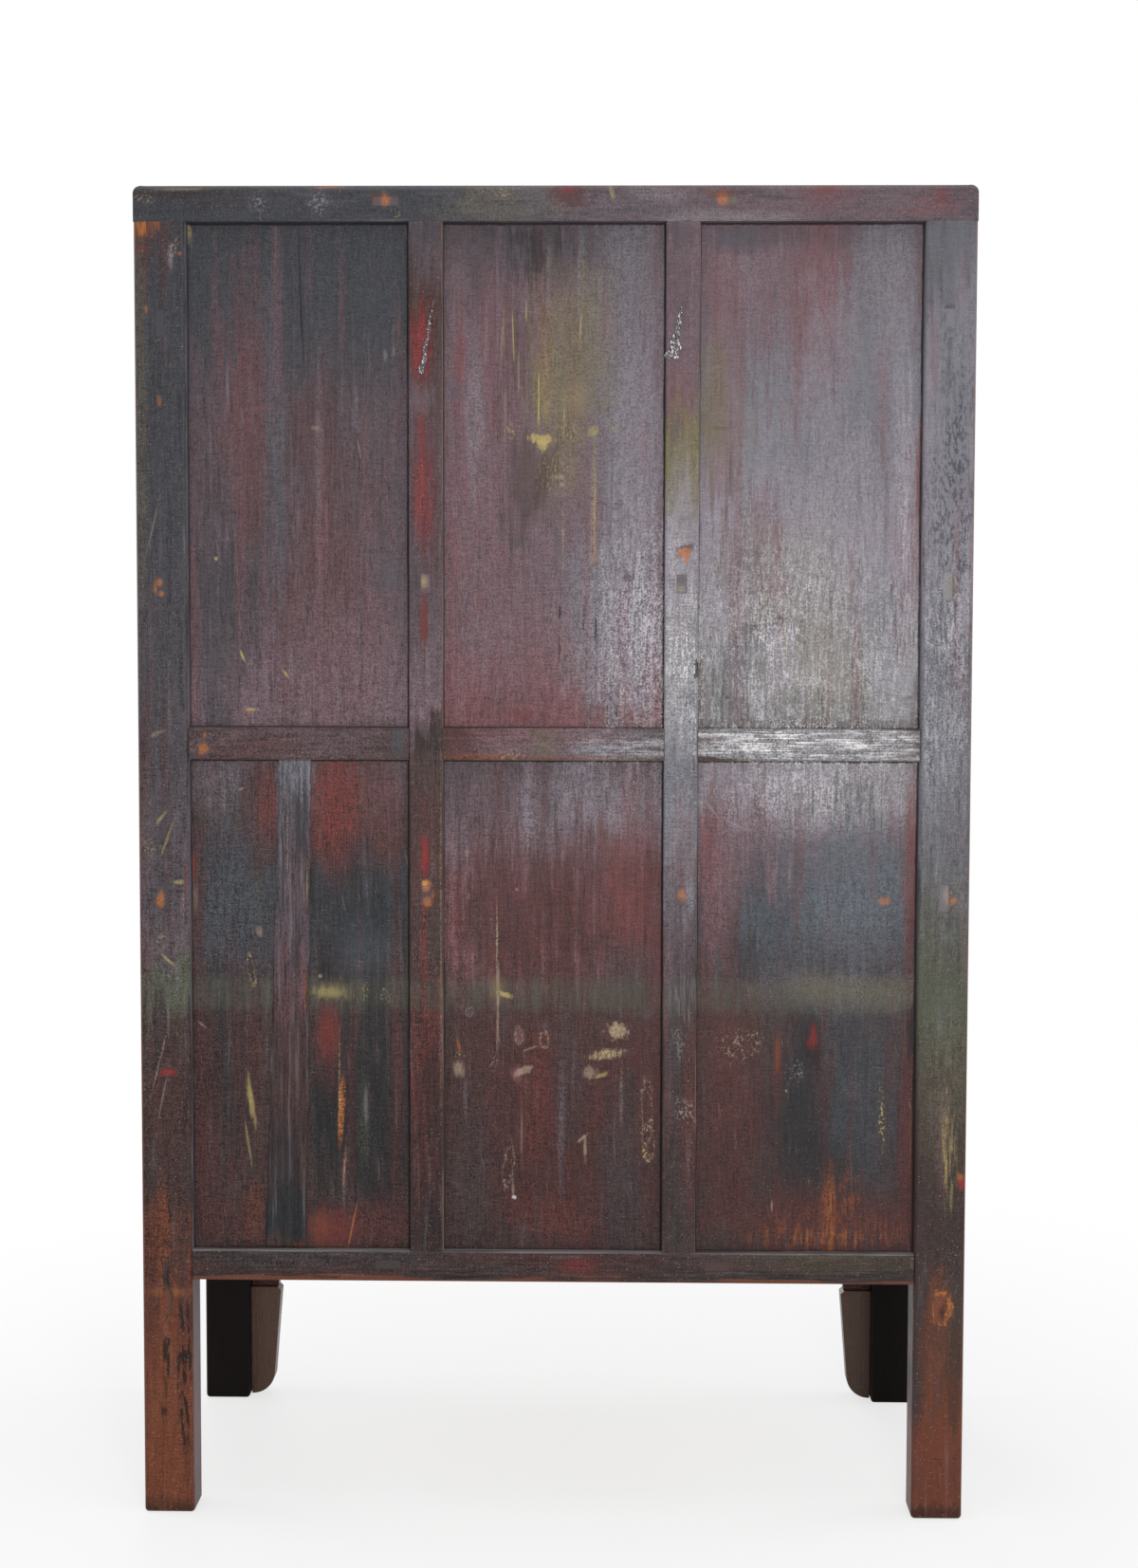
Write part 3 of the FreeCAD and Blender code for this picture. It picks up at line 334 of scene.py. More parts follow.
PATTERNS = {
    "flecks": (0.0030, 0.0075, 3, 41, 0.48, 0.58),
    "crumbs": (0.0036, 0.0048, 3, 43, 0.50, 0.58),
    "streaks": (0.0036, 0.05, 4, 42, 0.44, 0.60),
    "flakes": (0.0065, 0.024, 4, 46, 0.52, 0.545),
}


class Coat(Graph):
    """The nodes of one finish: a colour, a roughness and a relief, and layers laid on them."""

    def __init__(self, name, grain="z", normal="y"):
        self.material = bpy.data.materials.new(name)
        self.material.use_nodes = True
        super().__init__(self.material.node_tree)
        self.grain = "xyz".index(grain[0])
        self.second = "xyz".index(grain[1]) if len(grain) > 1 else None
        self.normal = "xyz".index(normal)
        self.place = self.node("ShaderNodeTexCoord", output="Object")
        split = self.node("ShaderNodeSeparateXYZ", inputs={0: self.place})
        self.x, self.y, self.z = (Field(self, output) for output in split.socket.node.outputs)
        self.colour = None
        self.rough = None
        self.relief = None
        self.kept = {}

    def turn_grain(self, share):
        """Lets the grain run across where the share is 1, by swapping two axes of the place."""
        swapped = self.node("ShaderNodeCombineXYZ", {}, {0: self.z, 1: self.y, 2: self.x})
        inputs = {0: share, 4: self.place, 5: swapped}
        self.place = self.node("ShaderNodeMix", {"data_type": "VECTOR"}, inputs, 1)

    def noise(self, across, along, detail=2.0, seed=0.0):
        """Noise drawn out along the grain; its patches are across by along metres.

        A second grain letter draws it out less along that axis too, for a box of boards.
        """
        per_metre = [1 / across] * 3
        per_metre[self.grain] = 1 / along
        if self.second is not None:
            per_metre[self.second] = SECOND_STRETCH / along
        inputs = {"Vector": self.place, "Location": (seed, seed + 3.1, seed + 7.7), "Scale": per_metre}
        drawn = self.node("ShaderNodeMapping", {"vector_type": "POINT"}, inputs)
        inputs = {"Vector": drawn, "Scale": 1.0, "Detail": detail, "Roughness": 0.55}
        return self.node("ShaderNodeTexNoise", {}, inputs)

    def scratches(self, turn, across, along, seed):
        """Thin scratches at an angle to the vertical, in the plane of the face."""
        rotation = [0.0, 0.0, 0.0]
        rotation[self.normal] = math.radians(turn)
        scale = [along] * 3
        scale[0 if self.normal != 0 else 1] = across
        inputs = {"Vector": self.place, "Location": (seed, seed, seed), "Rotation": rotation, "Scale": scale}
        drawn = self.node("ShaderNodeMapping", {"vector_type": "TEXTURE"}, inputs)
        inputs = {"Vector": drawn, "Scale": 1.0, "Detail": 1.0, "Roughness": 0.5}
        return self.step(self.node("ShaderNodeTexNoise", {}, inputs), 0.73, 0.80)

    def step(self, field, low, high, start=0.0, end=1.0):
        """A smooth rise from start to end while a field goes from low to high."""
        inputs = {"Value": field, "From Min": low, "From Max": high, "To Min": start, "To Max": end}
        return self.node("ShaderNodeMapRange", {"interpolation_type": "SMOOTHSTEP"}, inputs)

    def mix(self, under, over, share):
        """One colour over another."""
        return self.node("ShaderNodeMix", {"data_type": "RGBA"}, {0: share, 6: under, 7: over}, 2)

    def blend(self, under, over, share):
        """One number over another."""
        return self.node("ShaderNodeMix", {"data_type": "FLOAT"}, {0: share, 2: under, 3: over})

    def lay(self, tint, share):
        """Lays a colour over what is there."""
        self.colour = self.mix(self.colour, tint, share)

    def shade(self, factor):
        """Darkens or lightens what is there."""
        inputs = {0: self.colour, "Scale": factor}
        self.colour = self.node("ShaderNodeVectorMath", {"operation": "SCALE"}, inputs)

    def pattern(self, how):
        """Flecks, crumbs, streaks or curling edges that a mark is broken up into."""
        if how not in self.kept:
            if how == "loops":
                ridge = (self.noise(0.0085, 0.0085, 3, 44) - 0.5).size()
                gaps = self.step(self.noise(0.006, 0.006, 1, 45), 0.42, 0.56)
                self.kept[how] = self.step(ridge, 0.030, 0.010) * gaps
            else:
                across, along, detail, seed, low, high = PATTERNS[how]
                self.kept[how] = self.step(self.noise(across, along, detail, seed), low, high)
        return self.kept[how]

    def patch(self, mark, depth):
        """How strongly a mark covers each place; a rim covers only the edge of its oval."""
        centre = seen(mark.across, mark.down, depth)
        metres = (seen(mark.across + 1, mark.down, depth) - centre).length
        inputs = {
            "Vector": self.place,
            "Location": centre,
            "Rotation": (0.0, math.radians(mark.turn), 0.0),
            "Scale": (mark.wide * metres * REACH, FAR, mark.high * metres * REACH),
        }
        local = self.node("ShaderNodeMapping", {"vector_type": "TEXTURE"}, inputs)
        inward = self.node("ShaderNodeTexGradient", {"gradient_type": "SPHERICAL"}, {"Vector": local}, "Fac")
        out = (1 - inward) * REACH
        rag = "wide rag" if max(mark.wide, mark.high) > WIDE_MARK else "small rag"
        if mark.how == "rim":
            line = (out + self.kept["small rag"] * 0.7 - 1).size()
            broken = self.pattern("crumbs") * 0.7 + 0.3
            return self.step(line, mark.soft, mark.soft * 0.3, 0.0, mark.strength) * broken
        share = self.step(out + self.kept[rag], 1 - mark.soft, 1 + mark.soft, mark.strength, 0.0)
        return share * (self.pattern(mark.how) if mark.how else self.kept["rubbed"])

    def done(self, bump=0.001, specular=LACQUER_SHINE, metallic=0.0):
        """Closes the finish with its shader; a kept polish lies on it as a clear coat."""
        inputs = {"Height": self.relief, "Distance": bump, "Strength": 1.0}
        normal = self.node("ShaderNodeBump", {}, inputs)
        inputs = {
            "Base Color": self.colour,
            "Roughness": self.rough,
            "Metallic": metallic,
            "Specular IOR Level": specular,
            "Coat Weight": self.kept.get("polish", 0.0),
            "Coat Roughness": POLISH_ROUGHNESS,
            "Normal": normal,
        }
        shader = self.node("ShaderNodeBsdfPrincipled", {}, inputs)
        self.node("ShaderNodeOutputMaterial", {}, {"Surface": shader})
        return self.material


def finish(material, *names):
    """Puts a material on every slot of the named CAD nodes."""
    for name in names:
        mesh = nodes[name].data
        mesh.materials.clear()
        mesh.materials.append(material)


# Marks on the back: their colour, and their middle, half width and half height in the photograph's pixels

MARK_FIELDS = "colour across down wide high strength soft turn how"
Mark = namedtuple("Mark", MARK_FIELDS, defaults=(0.6, 0.5, 0.0, None))
flecks, crumbs, streaks = (partial(Mark, how=word) for word in ("flecks", "crumbs", "streaks"))
flakes, loops, rim = (partial(Mark, how=word) for word in ("flakes", "loops", "rim"))

# Marks wider than this lie under the streaks, and marks stronger than this leave a dent

WIDE_MARK = 26
DEEP = 0.85

# A mark's depth in metres, and how far its ragged edge can reach, in its own half widths

FAR = 1000.0
REACH = 3.0

# How many times shorter patches are along a second grain direction

SECOND_STRETCH = 8.0

# The contrast of the texture where there are no marks, and what is left of it at the feet

PLAIN_CONTRAST = 0.75
FOOT_CALM = 0.5

# How much of the polish's glints follows the grain

RAIL_FIBRE = 0.75
PANEL_FIBRE = 0.35

# Patches that have kept their polish

POLISHED = (
    Mark("ash", 835, 695, 140, 130, 0.34, 0.6),
    Mark("ash", 670, 665, 56, 120, 0.75, 0.6),
    Mark("ash", 650, 785, 50, 22, 0.9),
    Mark("ash", 720, 700, 22, 90, 0.75),
    Mark("ash", 850, 785, 125, 22, 1),
    Mark("ash", 1000, 720, 34, 150, 0.5, 0.6),
    Mark("ash", 850, 840, 120, 40, 0.4, 0.6),
    Mark("ash", 955, 480, 16, 130, 0.4, 0.6),
)

# Each member of the back: the rows and colours of its ground, then its marks

UPPER_LEFT_GROUND = ((234, "slate"), (330, "slate"), (450, "dusk"), (600, "dusk"), (767, "mauve"))
UPPER_LEFT = (
    streaks("oxblood", 300, 560, 90, 180, 0.5),
    streaks("slate", 330, 480, 90, 140, 0.35),
    Mark("slate", 375, 290, 60, 90, 0.7),
    Mark("rose", 262, 420, 26, 120, 0.35),
    Mark("oxblood", 262, 470, 16, 110, 0.35),
    Mark("oxblood", 330, 440, 20, 50, 0.3),
    Mark("slate", 232, 650, 36, 110, 0.8),
    Mark("slate", 215, 300, 20, 60, 0.5),
    Mark("rose", 360, 650, 60, 110, 0.3),
    Mark("oxblood", 345, 560, 30, 60, 0.3),
    Mark("oxblood", 300, 640, 8, 90, 0.45),
    Mark("sea", 290, 440, 9, 150, 0.6, 0.8),
    Mark("sea", 297, 570, 5, 90, 0.5, 0.8),
    Mark("sea", 410, 610, 14, 16, 0.45, 0.8),
    Mark("lavender", 336, 500, 3, 110, 0.25, 0.8),
    Mark("lavender", 240, 410, 1.4, 22, 0.35, 0.8),
    Mark("mauve", 315, 700, 90, 50, 0.18),
    Mark("soot", 316, 290, 0.9, 56, 0.85, 0.5, 2),
    Mark("soot", 320, 372, 0.7, 34, 0.5, 0.6, 1.5),
    Mark("rose", 273, 431, 14, 2.2, 0.6, 0.7, 4),
    Mark("bone", 333, 451, 4, 2, 0.5),
    Mark("bone", 379, 474, 1, 8, 0.45, 0.5, 10),
    Mark("straw", 256, 692, 1.2, 8, 0.8, 0.5, 24),
    Mark("straw", 301, 710, 1.2, 5, 0.85, 0.5, 35),
    Mark("straw", 264, 748, 6, 1.4, 0.85),
    Mark("amber", 262, 751, 3, 1.2),
    Mark("straw", 228, 589, 1.7, 1.7, 0.8),
    Mark("straw", 199, 244, 2.2, 9, 0.6, 0.7),
    Mark("bone", 415, 372, 1.2, 6, 0.4),
    Mark("lavender", 406, 375, 2, 5, 0.4),
)

UPPER_MIDDLE_GROUND = ((234, "dusk"), (310, "mauve"), (450, "mauve"), (650, "mauve"), (767, "rose"))
UPPER_MIDDLE = (
    streaks("oxblood", 540, 380, 34, 110, 0.5),
    streaks("rose", 500, 560, 40, 170),
    streaks("soot", 570, 270, 40, 34),
    Mark("slate", 560, 262, 66, 30),
    Mark("soot", 566, 262, 8, 24, 0.5),
    Mark("soot", 590, 258, 5, 30, 0.4),
    Mark("soot", 545, 250, 30, 8, 0.35),
    Mark("slate", 505, 270, 10, 50, 0.5),
    Mark("slate", 655, 285, 44, 44, 0.25),
    Mark("lavender", 612, 300, 3, 50, 0.3),
    Mark("lavender", 578, 300, 2, 40, 0.3),
    Mark("dusk", 500, 300, 30, 60, 0.5),
    Mark("pewter", 660, 400, 40, 180, 0.7),
    Mark("lavender", 676, 480, 26, 120, 0.5),
    Mark("pewter", 645, 640, 50, 110, 0.8),
    Mark("lavender", 668, 650, 34, 110, 0.7),
    Mark("olive", 588, 415, 36, 115, 0.72),
    Mark("olive", 628, 350, 24, 60, 0.42),
    Mark("olive", 575, 380, 14, 70),
    Mark("umber", 560, 500, 28, 60),
    Mark("umber", 545, 370, 14, 60, 0.35),
    Mark("straw", 606, 420, 13, 15, 0.16, 0.7),
    Mark("straw", 575, 400, 5, 50, 0.28, 0.7),
    crumbs("straw", 600, 455, 9, 9, 0.4, 0.7),
    Mark("straw", 625, 455, 5, 5, 0.5, 0.6),
    crumbs("straw", 537, 453, 6, 7, 0.45, 0.7),
    crumbs("straw", 585, 500, 18, 20, 0.25),
    Mark("straw", 625, 530, 4, 60, 0.3),
    Mark("rose", 486, 390, 8, 80),
    Mark("brick", 484, 372, 6, 34, 0.45),
    Mark("rose", 515, 360, 12, 70, 0.4),
    Mark("sea", 480, 412, 14, 8, 0.4, 0.8),
    Mark("lavender", 500, 440, 12, 80, 0.35),
    Mark("rose", 478, 620, 6, 120, 0.45),
    Mark("oxblood", 540, 745, 50, 14, 0.35),
    Mark("brick", 550, 754, 24, 8, 0.35),
    Mark("rose", 560, 690, 40, 60, 0.35),
    Mark("oxblood", 640, 752, 40, 8, 0.4),
    Mark("umber", 574, 500, 9, 46, 0.6, 0.6, -22),
    Mark("straw", 571, 463, 12, 5, 0.95, 0.3, -4),
    Mark("straw", 572, 469, 6, 6, 0.95, 0.3, -8),
    Mark("straw", 627, 555, 1, 36, 0.5, 0.7),
    Mark("bone", 590, 503, 5, 2, 0.7),
    Mark("bone", 593, 511, 3, 2, 0.7),
    Mark("straw", 568, 425, 0.9, 26, 0.8),
    Mark("bone", 547, 392, 0.7, 26),
    Mark("straw", 541, 352, 0.8, 22, 0.65, 0.5, 2),
    Mark("straw", 555, 328, 0.8, 8, 0.7),
    Mark("bone", 529, 362, 0.7, 14),
    Mark("bone", 533, 430, 0.8, 24, 0.5),
    Mark("straw", 531, 350, 0.7, 22, 0.5),
    Mark("straw", 612, 345, 0.7, 14, 0.7, 0.5, -4),
    Mark("straw", 595, 440, 0.8, 14),
    crumbs("straw", 646, 452, 6, 8, 0.35, 0.7),
    Mark("bone", 594, 562, 1.3, 34, 0.35, 0.7),
    Mark("moss", 545, 574, 5, 5, 0.9, 0.6),
    Mark("soot", 628, 664, 1.3, 24, 0.95, 0.3),
    Mark("soot", 615, 659, 1.1, 9, 0.9, 0.3),
    Mark("soot", 590, 645, 1.2, 6, 0.9, 0.4),
    Mark("soot", 590, 685, 1, 16, 0.7),
    Mark("slate", 663, 609, 6, 5, 0.6, 0.8),
    Mark("amber", 628, 580, 1.6, 12.8, 0.3, 0.8),
)

# The ash rows at the foot of this panel are partly painted sheen.
UPPER_RIGHT_GROUND = ((234, "mauve"), (290, "mauve"), (400, "pewter"), (560, "lavender"), (767, "ash"))
UPPER_RIGHT = (
    flecks("umber", 800, 580, 44, 80, 0.45),
    flecks("slate", 890, 480, 60, 90, 0.35),
    streaks("olive", 840, 680, 90, 70, 0.35),
    Mark("pewter", 925, 700, 40, 60, 0.3),
    streaks("rose", 850, 330, 80, 110, 0.45),
    streaks("rose", 955, 600, 14, 130, 0.5),
    Mark("rose", 865, 320, 34, 90, 0.45),
    Mark("lavender", 790, 290, 44, 50, 0.2),
    Mark("olive", 765, 465, 28, 60, 0.22),
    Mark("rose", 762, 400, 20, 130, 0.55),
    Mark("rose", 870, 270, 12, 40, 0.3),
    Mark("slate", 800, 250, 60, 16, 0.5),
    Mark("sea", 775, 250, 24, 10, 0.4, 0.8),
    Mark("slate", 920, 250, 50, 20, 0.35),
    Mark("sea", 925, 330, 30, 90, 0.25),
    Mark("olive", 752, 420, 14, 60, 0.55),
    Mark("olive", 820, 600, 60, 60, 0.3),
    Mark("olive", 880, 700, 40, 60, 0.3),
    Mark("mauve", 772, 640, 12, 100, 0.5),
    Mark("rose", 803, 540, 10, 50, 0.4),
    Mark("umber", 772, 500, 3, 24, 0.4, 0.8),
    Mark("rose", 820, 570, 5, 26, 0.4),
    Mark("lavender", 955, 470, 12, 110, 0.7),
    Mark("rose", 966, 540, 6, 90, 0.5),
    Mark("brick", 970, 500, 2.5, 70, 0.7),
    Mark("pewter", 930, 320, 34, 100, 0.8),
    Mark("lavender", 940, 360, 22, 90, 0.4),
    Mark("lavender", 870, 420, 40, 110, 0.4),
    # Partly painted sheen, like the ash rows of the ground.
    Mark("ash", 850, 600, 40, 50, 0.4),
    Mark("pewter", 925, 640, 24, 70, 0.5),
    Mark("slate", 770, 730, 16, 34, 0.35),
    Mark("sea", 790, 690, 20, 24, 0.3),
    Mark("lavender", 788, 615, 9, 40, 0.45, 0.6),
    Mark("slate", 775, 690, 26, 44, 0.3, 0.6),
    Mark("slate", 840, 745, 60, 14, 0.3, 0.6),
    Mark("lavender", 826, 705, 16, 26, 0.4, 0.6),
    Mark("rose", 815, 615, 16, 12, 0.35, 0.6),
    Mark("lavender", 900, 620, 24, 50, 0.3, 0.6),
    Mark("umber", 798, 662, 5, 3, 0.6, 0.7),
    Mark("umber", 808, 658, 14, 1.4, 0.6, 0.6, 6),
    Mark("umber", 824, 652, 8, 1.6, 0.6, 0.6),
    Mark("umber", 822, 690, 1, 34, 0.4, 0.6),
    Mark("umber", 795, 590, 5, 14, 0.4, 0.7),
    Mark("umber", 780, 590, 4, 10, 0.35, 0.7),
    Mark("umber", 845, 670, 3, 18, 0.4, 0.8),
    Mark("umber", 905, 700, 5, 40, 0.3, 0.8),
    Mark("olive", 748, 455, 6, 8, 0.6, 0.8),
    Mark("umber", 762, 451, 14, 1.2, 0.35, 0.7),
    Mark("rose", 900, 600, 3, 50, 0.25, 0.8),
    Mark("soot", 855, 520, 1.4, 1.4),
    Mark("soot", 766, 735, 2, 2),
    Mark("soot", 960, 735, 2, 2),
    Mark("umber", 742, 740, 8, 34, 0.5),
    Mark("umber", 966, 740, 10, 34, 0.55),
    Mark("umber", 850, 765, 120, 7),
)

LOWER_LEFT_GROUND = ((802, "dusk"), (870, "umber"), (930, "slate"), (1070, "umber"), (1320, "umber"))
LOWER_LEFT = (
    streaks("night", 380, 1180, 50, 150),
    streaks("oxblood", 240, 1250, 46, 70, 0.5),
    Mark("mauve", 395, 830, 40, 34, 0.35),
    Mark("pewter", 235, 838, 34, 34, 0.25),
    Mark("rose", 400, 850, 28, 44, 0.2),
    Mark("sea", 245, 1047, 40, 16, 0.2),
    Mark("oxblood", 380, 860, 54, 70, 0.5),
    Mark("brick", 352, 845, 26, 62, 0.9),
    Mark("brick", 356, 905, 14, 34, 0.5),
    Mark("soot", 352, 850, 26, 56, 0.12),
    streaks("oxblood", 405, 850, 14, 60, 0.5),
    Mark("oxblood", 277, 855, 20, 46, 0.75),
    Mark("brick", 283, 850, 9, 30, 0.4),
    Mark("slate", 246, 955, 46, 90, 0.85),
    Mark("sea", 240, 960, 30, 60, 0.25),
    Mark("oxblood", 208, 960, 8, 90),
    Mark("night", 372, 975, 48, 70, 0.85),
    Mark("sea", 385, 1000, 26, 26, 0.35),
    Mark("night", 245, 1110, 34, 100, 0.55),
    Mark("night", 375, 1160, 52, 120, 0.95),
    Mark("soot", 375, 1170, 60, 110, 0.38),
    Mark("oxblood", 345, 1095, 16, 40, 0.9),
    Mark("brick", 347, 1085, 10, 24, 0.7),
    Mark("oxblood", 216, 1180, 14, 120, 0.5),
    Mark("oxblood", 270, 1110, 8, 80, 0.45),
    Mark("oxblood", 420, 1130, 9, 160, 0.45),
    Mark("night", 400, 960, 14, 34, 0.5),
    Mark("night", 428, 1060, 5, 200, 0.5),
    Mark("moss", 384, 1180, 5, 46, 0.45, 0.8),
    Mark("oxblood", 380, 1292, 60, 28, 0.85),
    Mark("brick", 350, 1298, 22, 20),
    Mark("rust", 336, 1296, 10, 16, 0.5),
    Mark("rust", 268, 1280, 9, 30, 0.5),
    Mark("oxblood", 250, 1290, 40, 26, 0.35),
    Mark("amber", 360, 1175, 2.6, 36, 0.85, 0.5, -3),
    Mark("amber", 363, 1235, 1.8, 34, 0.9, 0.4, -4),
    Mark("straw", 358, 1130, 1, 40, 0.4, 0.6),
    Mark("amber", 371, 1295, 0.9, 26, 0.7, 0.5, -12),
    Mark("straw", 265, 1160, 2.6, 22, 0.75, 0.6, 8),
    Mark("straw", 262, 1205, 1.2, 20, 0.45, 0.7, 8),
    rim("straw", 265, 1022, 3, 16, 0.6, 0.2, 10),
    crumbs("moss", 272, 955, 4, 26, 0.6, 0.5, -4),
    Mark("bone", 274, 982, 3, 5, 0.5, 0.4),
    rim("bone", 407, 1048, 2, 7, 0.5, 0.3, 24),
    Mark("olive", 350, 1045, 18, 8, 0.8, 0.6),
    Mark("straw", 347, 1046, 13, 5, 0.4, 0.7),
    crumbs("straw", 385, 1045, 3, 8, 0.35, 0.7),
    crumbs("bone", 403, 1050, 4, 4, 0.55),
    Mark("bone", 338, 1029, 1.6, 1.6, 0.8),
    Mark("lavender", 386, 1165, 2, 16, 0.35, 0.7),
    Mark("bone", 213, 1080, 5, 1.2, 0.5, 0.5, -40),
    Mark("rust", 205, 912, 2, 12, 0.9),
    Mark("soot", 358, 884, 1.2, 1.2, 0.8, 0.4),
    Mark("bone", 254, 832, 2.5, 1.2, 0.7, 0.5, 30),
    Mark("brick", 205, 915, 3, 12, 0.7, 0.6),
    Mark("bone", 206, 945, 2.5, 14, 0.35, 0.7),
    Mark("soot", 330, 935, 3, 40, 0.4, 0.7),
)

LOWER_MIDDLE_GROUND = ((802, "dusk"), (870, "mauve"), (960, "rose"), (1070, "umber"), (1320, "umber"))
LOWER_MIDDLE = (
    streaks("slate", 570, 900, 110, 110, 0.5),
    streaks("soot", 590, 1200, 110, 120, 0.45),
    streaks("brick", 600, 1200, 100, 120, 0.4),
    Mark("slate", 500, 850, 24, 46, 0.4),
    Mark("rose", 508, 855, 36, 46, 0.2),
    Mark("lavender", 560, 845, 10, 60, 0.45),
    Mark("lavender", 640, 845, 60, 50, 0.45),
    Mark("oxblood", 640, 955, 60, 80, 0.72),
    Mark("brick", 668, 920, 26, 80, 0.4),
    Mark("oxblood", 545, 975, 64, 70, 0.88),
    Mark("oxblood", 690, 980, 14, 90),
    Mark("brick", 483, 960, 8, 40, 0.45),
    Mark("umber", 495, 990, 20, 50, 0.5),
    Mark("oxblood", 590, 1185, 120, 125, 0.68),
    Mark("soot", 580, 1190, 120, 110, 0.18),
    Mark("soot", 560, 965, 60, 60, 0.16),
    Mark("brick", 565, 1160, 16, 60, 0.35),
    Mark("brick", 580, 1285, 40, 24, 0.4),
    Mark("slate", 500, 1230, 22, 80, 0.3),
    Mark("slate", 600, 1130, 14, 60, 0.35),
    Mark("slate", 655, 1240, 22, 80, 0.5),
    Mark("oxblood", 690, 1150, 16, 120, 0.5),
    Mark("slate", 660, 1020, 30, 24, 0.35),
    Mark("bone", 525, 1040, 1.6, 18, 0.8, 0.6),
    Mark("olive", 524, 1042, 7, 10, 0.6, 0.7),
    Mark("straw", 534, 1049, 7, 2.5, 0.9, 0.4, -18),
    Mark("bone", 524, 1000, 0.9, 40, 0.7, 0.6),
    streaks("bone", 525, 1085, 1.2, 26, 0.7, 0.7),
    Mark("bone", 484, 1126, 5, 8, 0.7),
    loops("straw", 485, 1112, 4, 5),
    Mark("amber", 484, 1102, 1.6, 8, 0.51, 0.6, 12),
    crumbs("bone", 521, 1120, 4, 8, 0.45, 0.7),
    Mark("rose", 547, 1093, 5, 8, 0.7),
    rim("bone", 547, 1092, 4, 9, 0.6, 0.3),
    Mark("bone", 560, 1105, 8, 1, 0.5, 0.5, 20),
    Mark("rose", 545, 1132, 7, 8, 0.7, 0.4),
    Mark("bone", 552, 1129, 10, 3.5, 0.75, 0.4, 24),
    rim("bone", 574, 1096, 4.5, 8, 0.7, 0.3),
    Mark("dusk", 574, 1081, 4, 4, 0.7),
    Mark("bone", 650, 1087, 10, 8, 0.8, 0.3),
    crumbs("straw", 650, 1087, 8, 7, 0.7, 0.4),
    Mark("bone", 641, 1111, 17, 5, 0.6, 0.3, 8),
    crumbs("straw", 641, 1111, 16, 4.5, 0.8, 0.4, 8),
    Mark("bone", 622, 1131, 7, 6, 0.6, 0.4),
    Mark("straw", 633, 1134, 7, 2, 0.6, 0.5, 20),
    rim("bone", 682, 1172, 5.5, 34, 0.8, 0.14),
    rim("bone", 683, 1204, 6, 20, 0.9, 0.12, 6),
    crumbs("straw", 680, 1214, 3, 8, 0.7, 0.6),
    Mark("bone", 614, 1200, 7, 1.6, 0.7, 0.5, 40),
    Mark("bone", 617, 1212, 1.6, 12, 0.7),
    Mark("dusk", 495, 1067, 4, 5, 0.8, 0.4),
    rim("bone", 495, 1067, 4, 4, 0.5, 0.3),
    Mark("dusk", 683, 1070, 5, 5),
    rim("bone", 536, 1230, 5, 20, 0.7, 0.16, -8),
    Mark("bone", 541, 1255, 1.6, 10, 0.6, 0.6),
    Mark("glare", 542, 1262, 2.2, 2.2, 0.8, 0.4),
    Mark("lavender", 592, 1180, 3, 60, 0.25, 0.8),
    Mark("bone", 550, 1200, 1.2, 26, 0.35, 0.7),
    crumbs("bone", 493, 900, 3, 5, 0.4, 0.7),
    crumbs("bone", 493, 945, 4, 4, 0.35, 0.7),
    Mark("bone", 545, 938, 1.6, 1.6),
    Mark("bone", 655, 1158, 1.4, 30, 0.3, 0.7),
    crumbs("bone", 491, 1005, 3, 8, 0.3, 0.7),
)

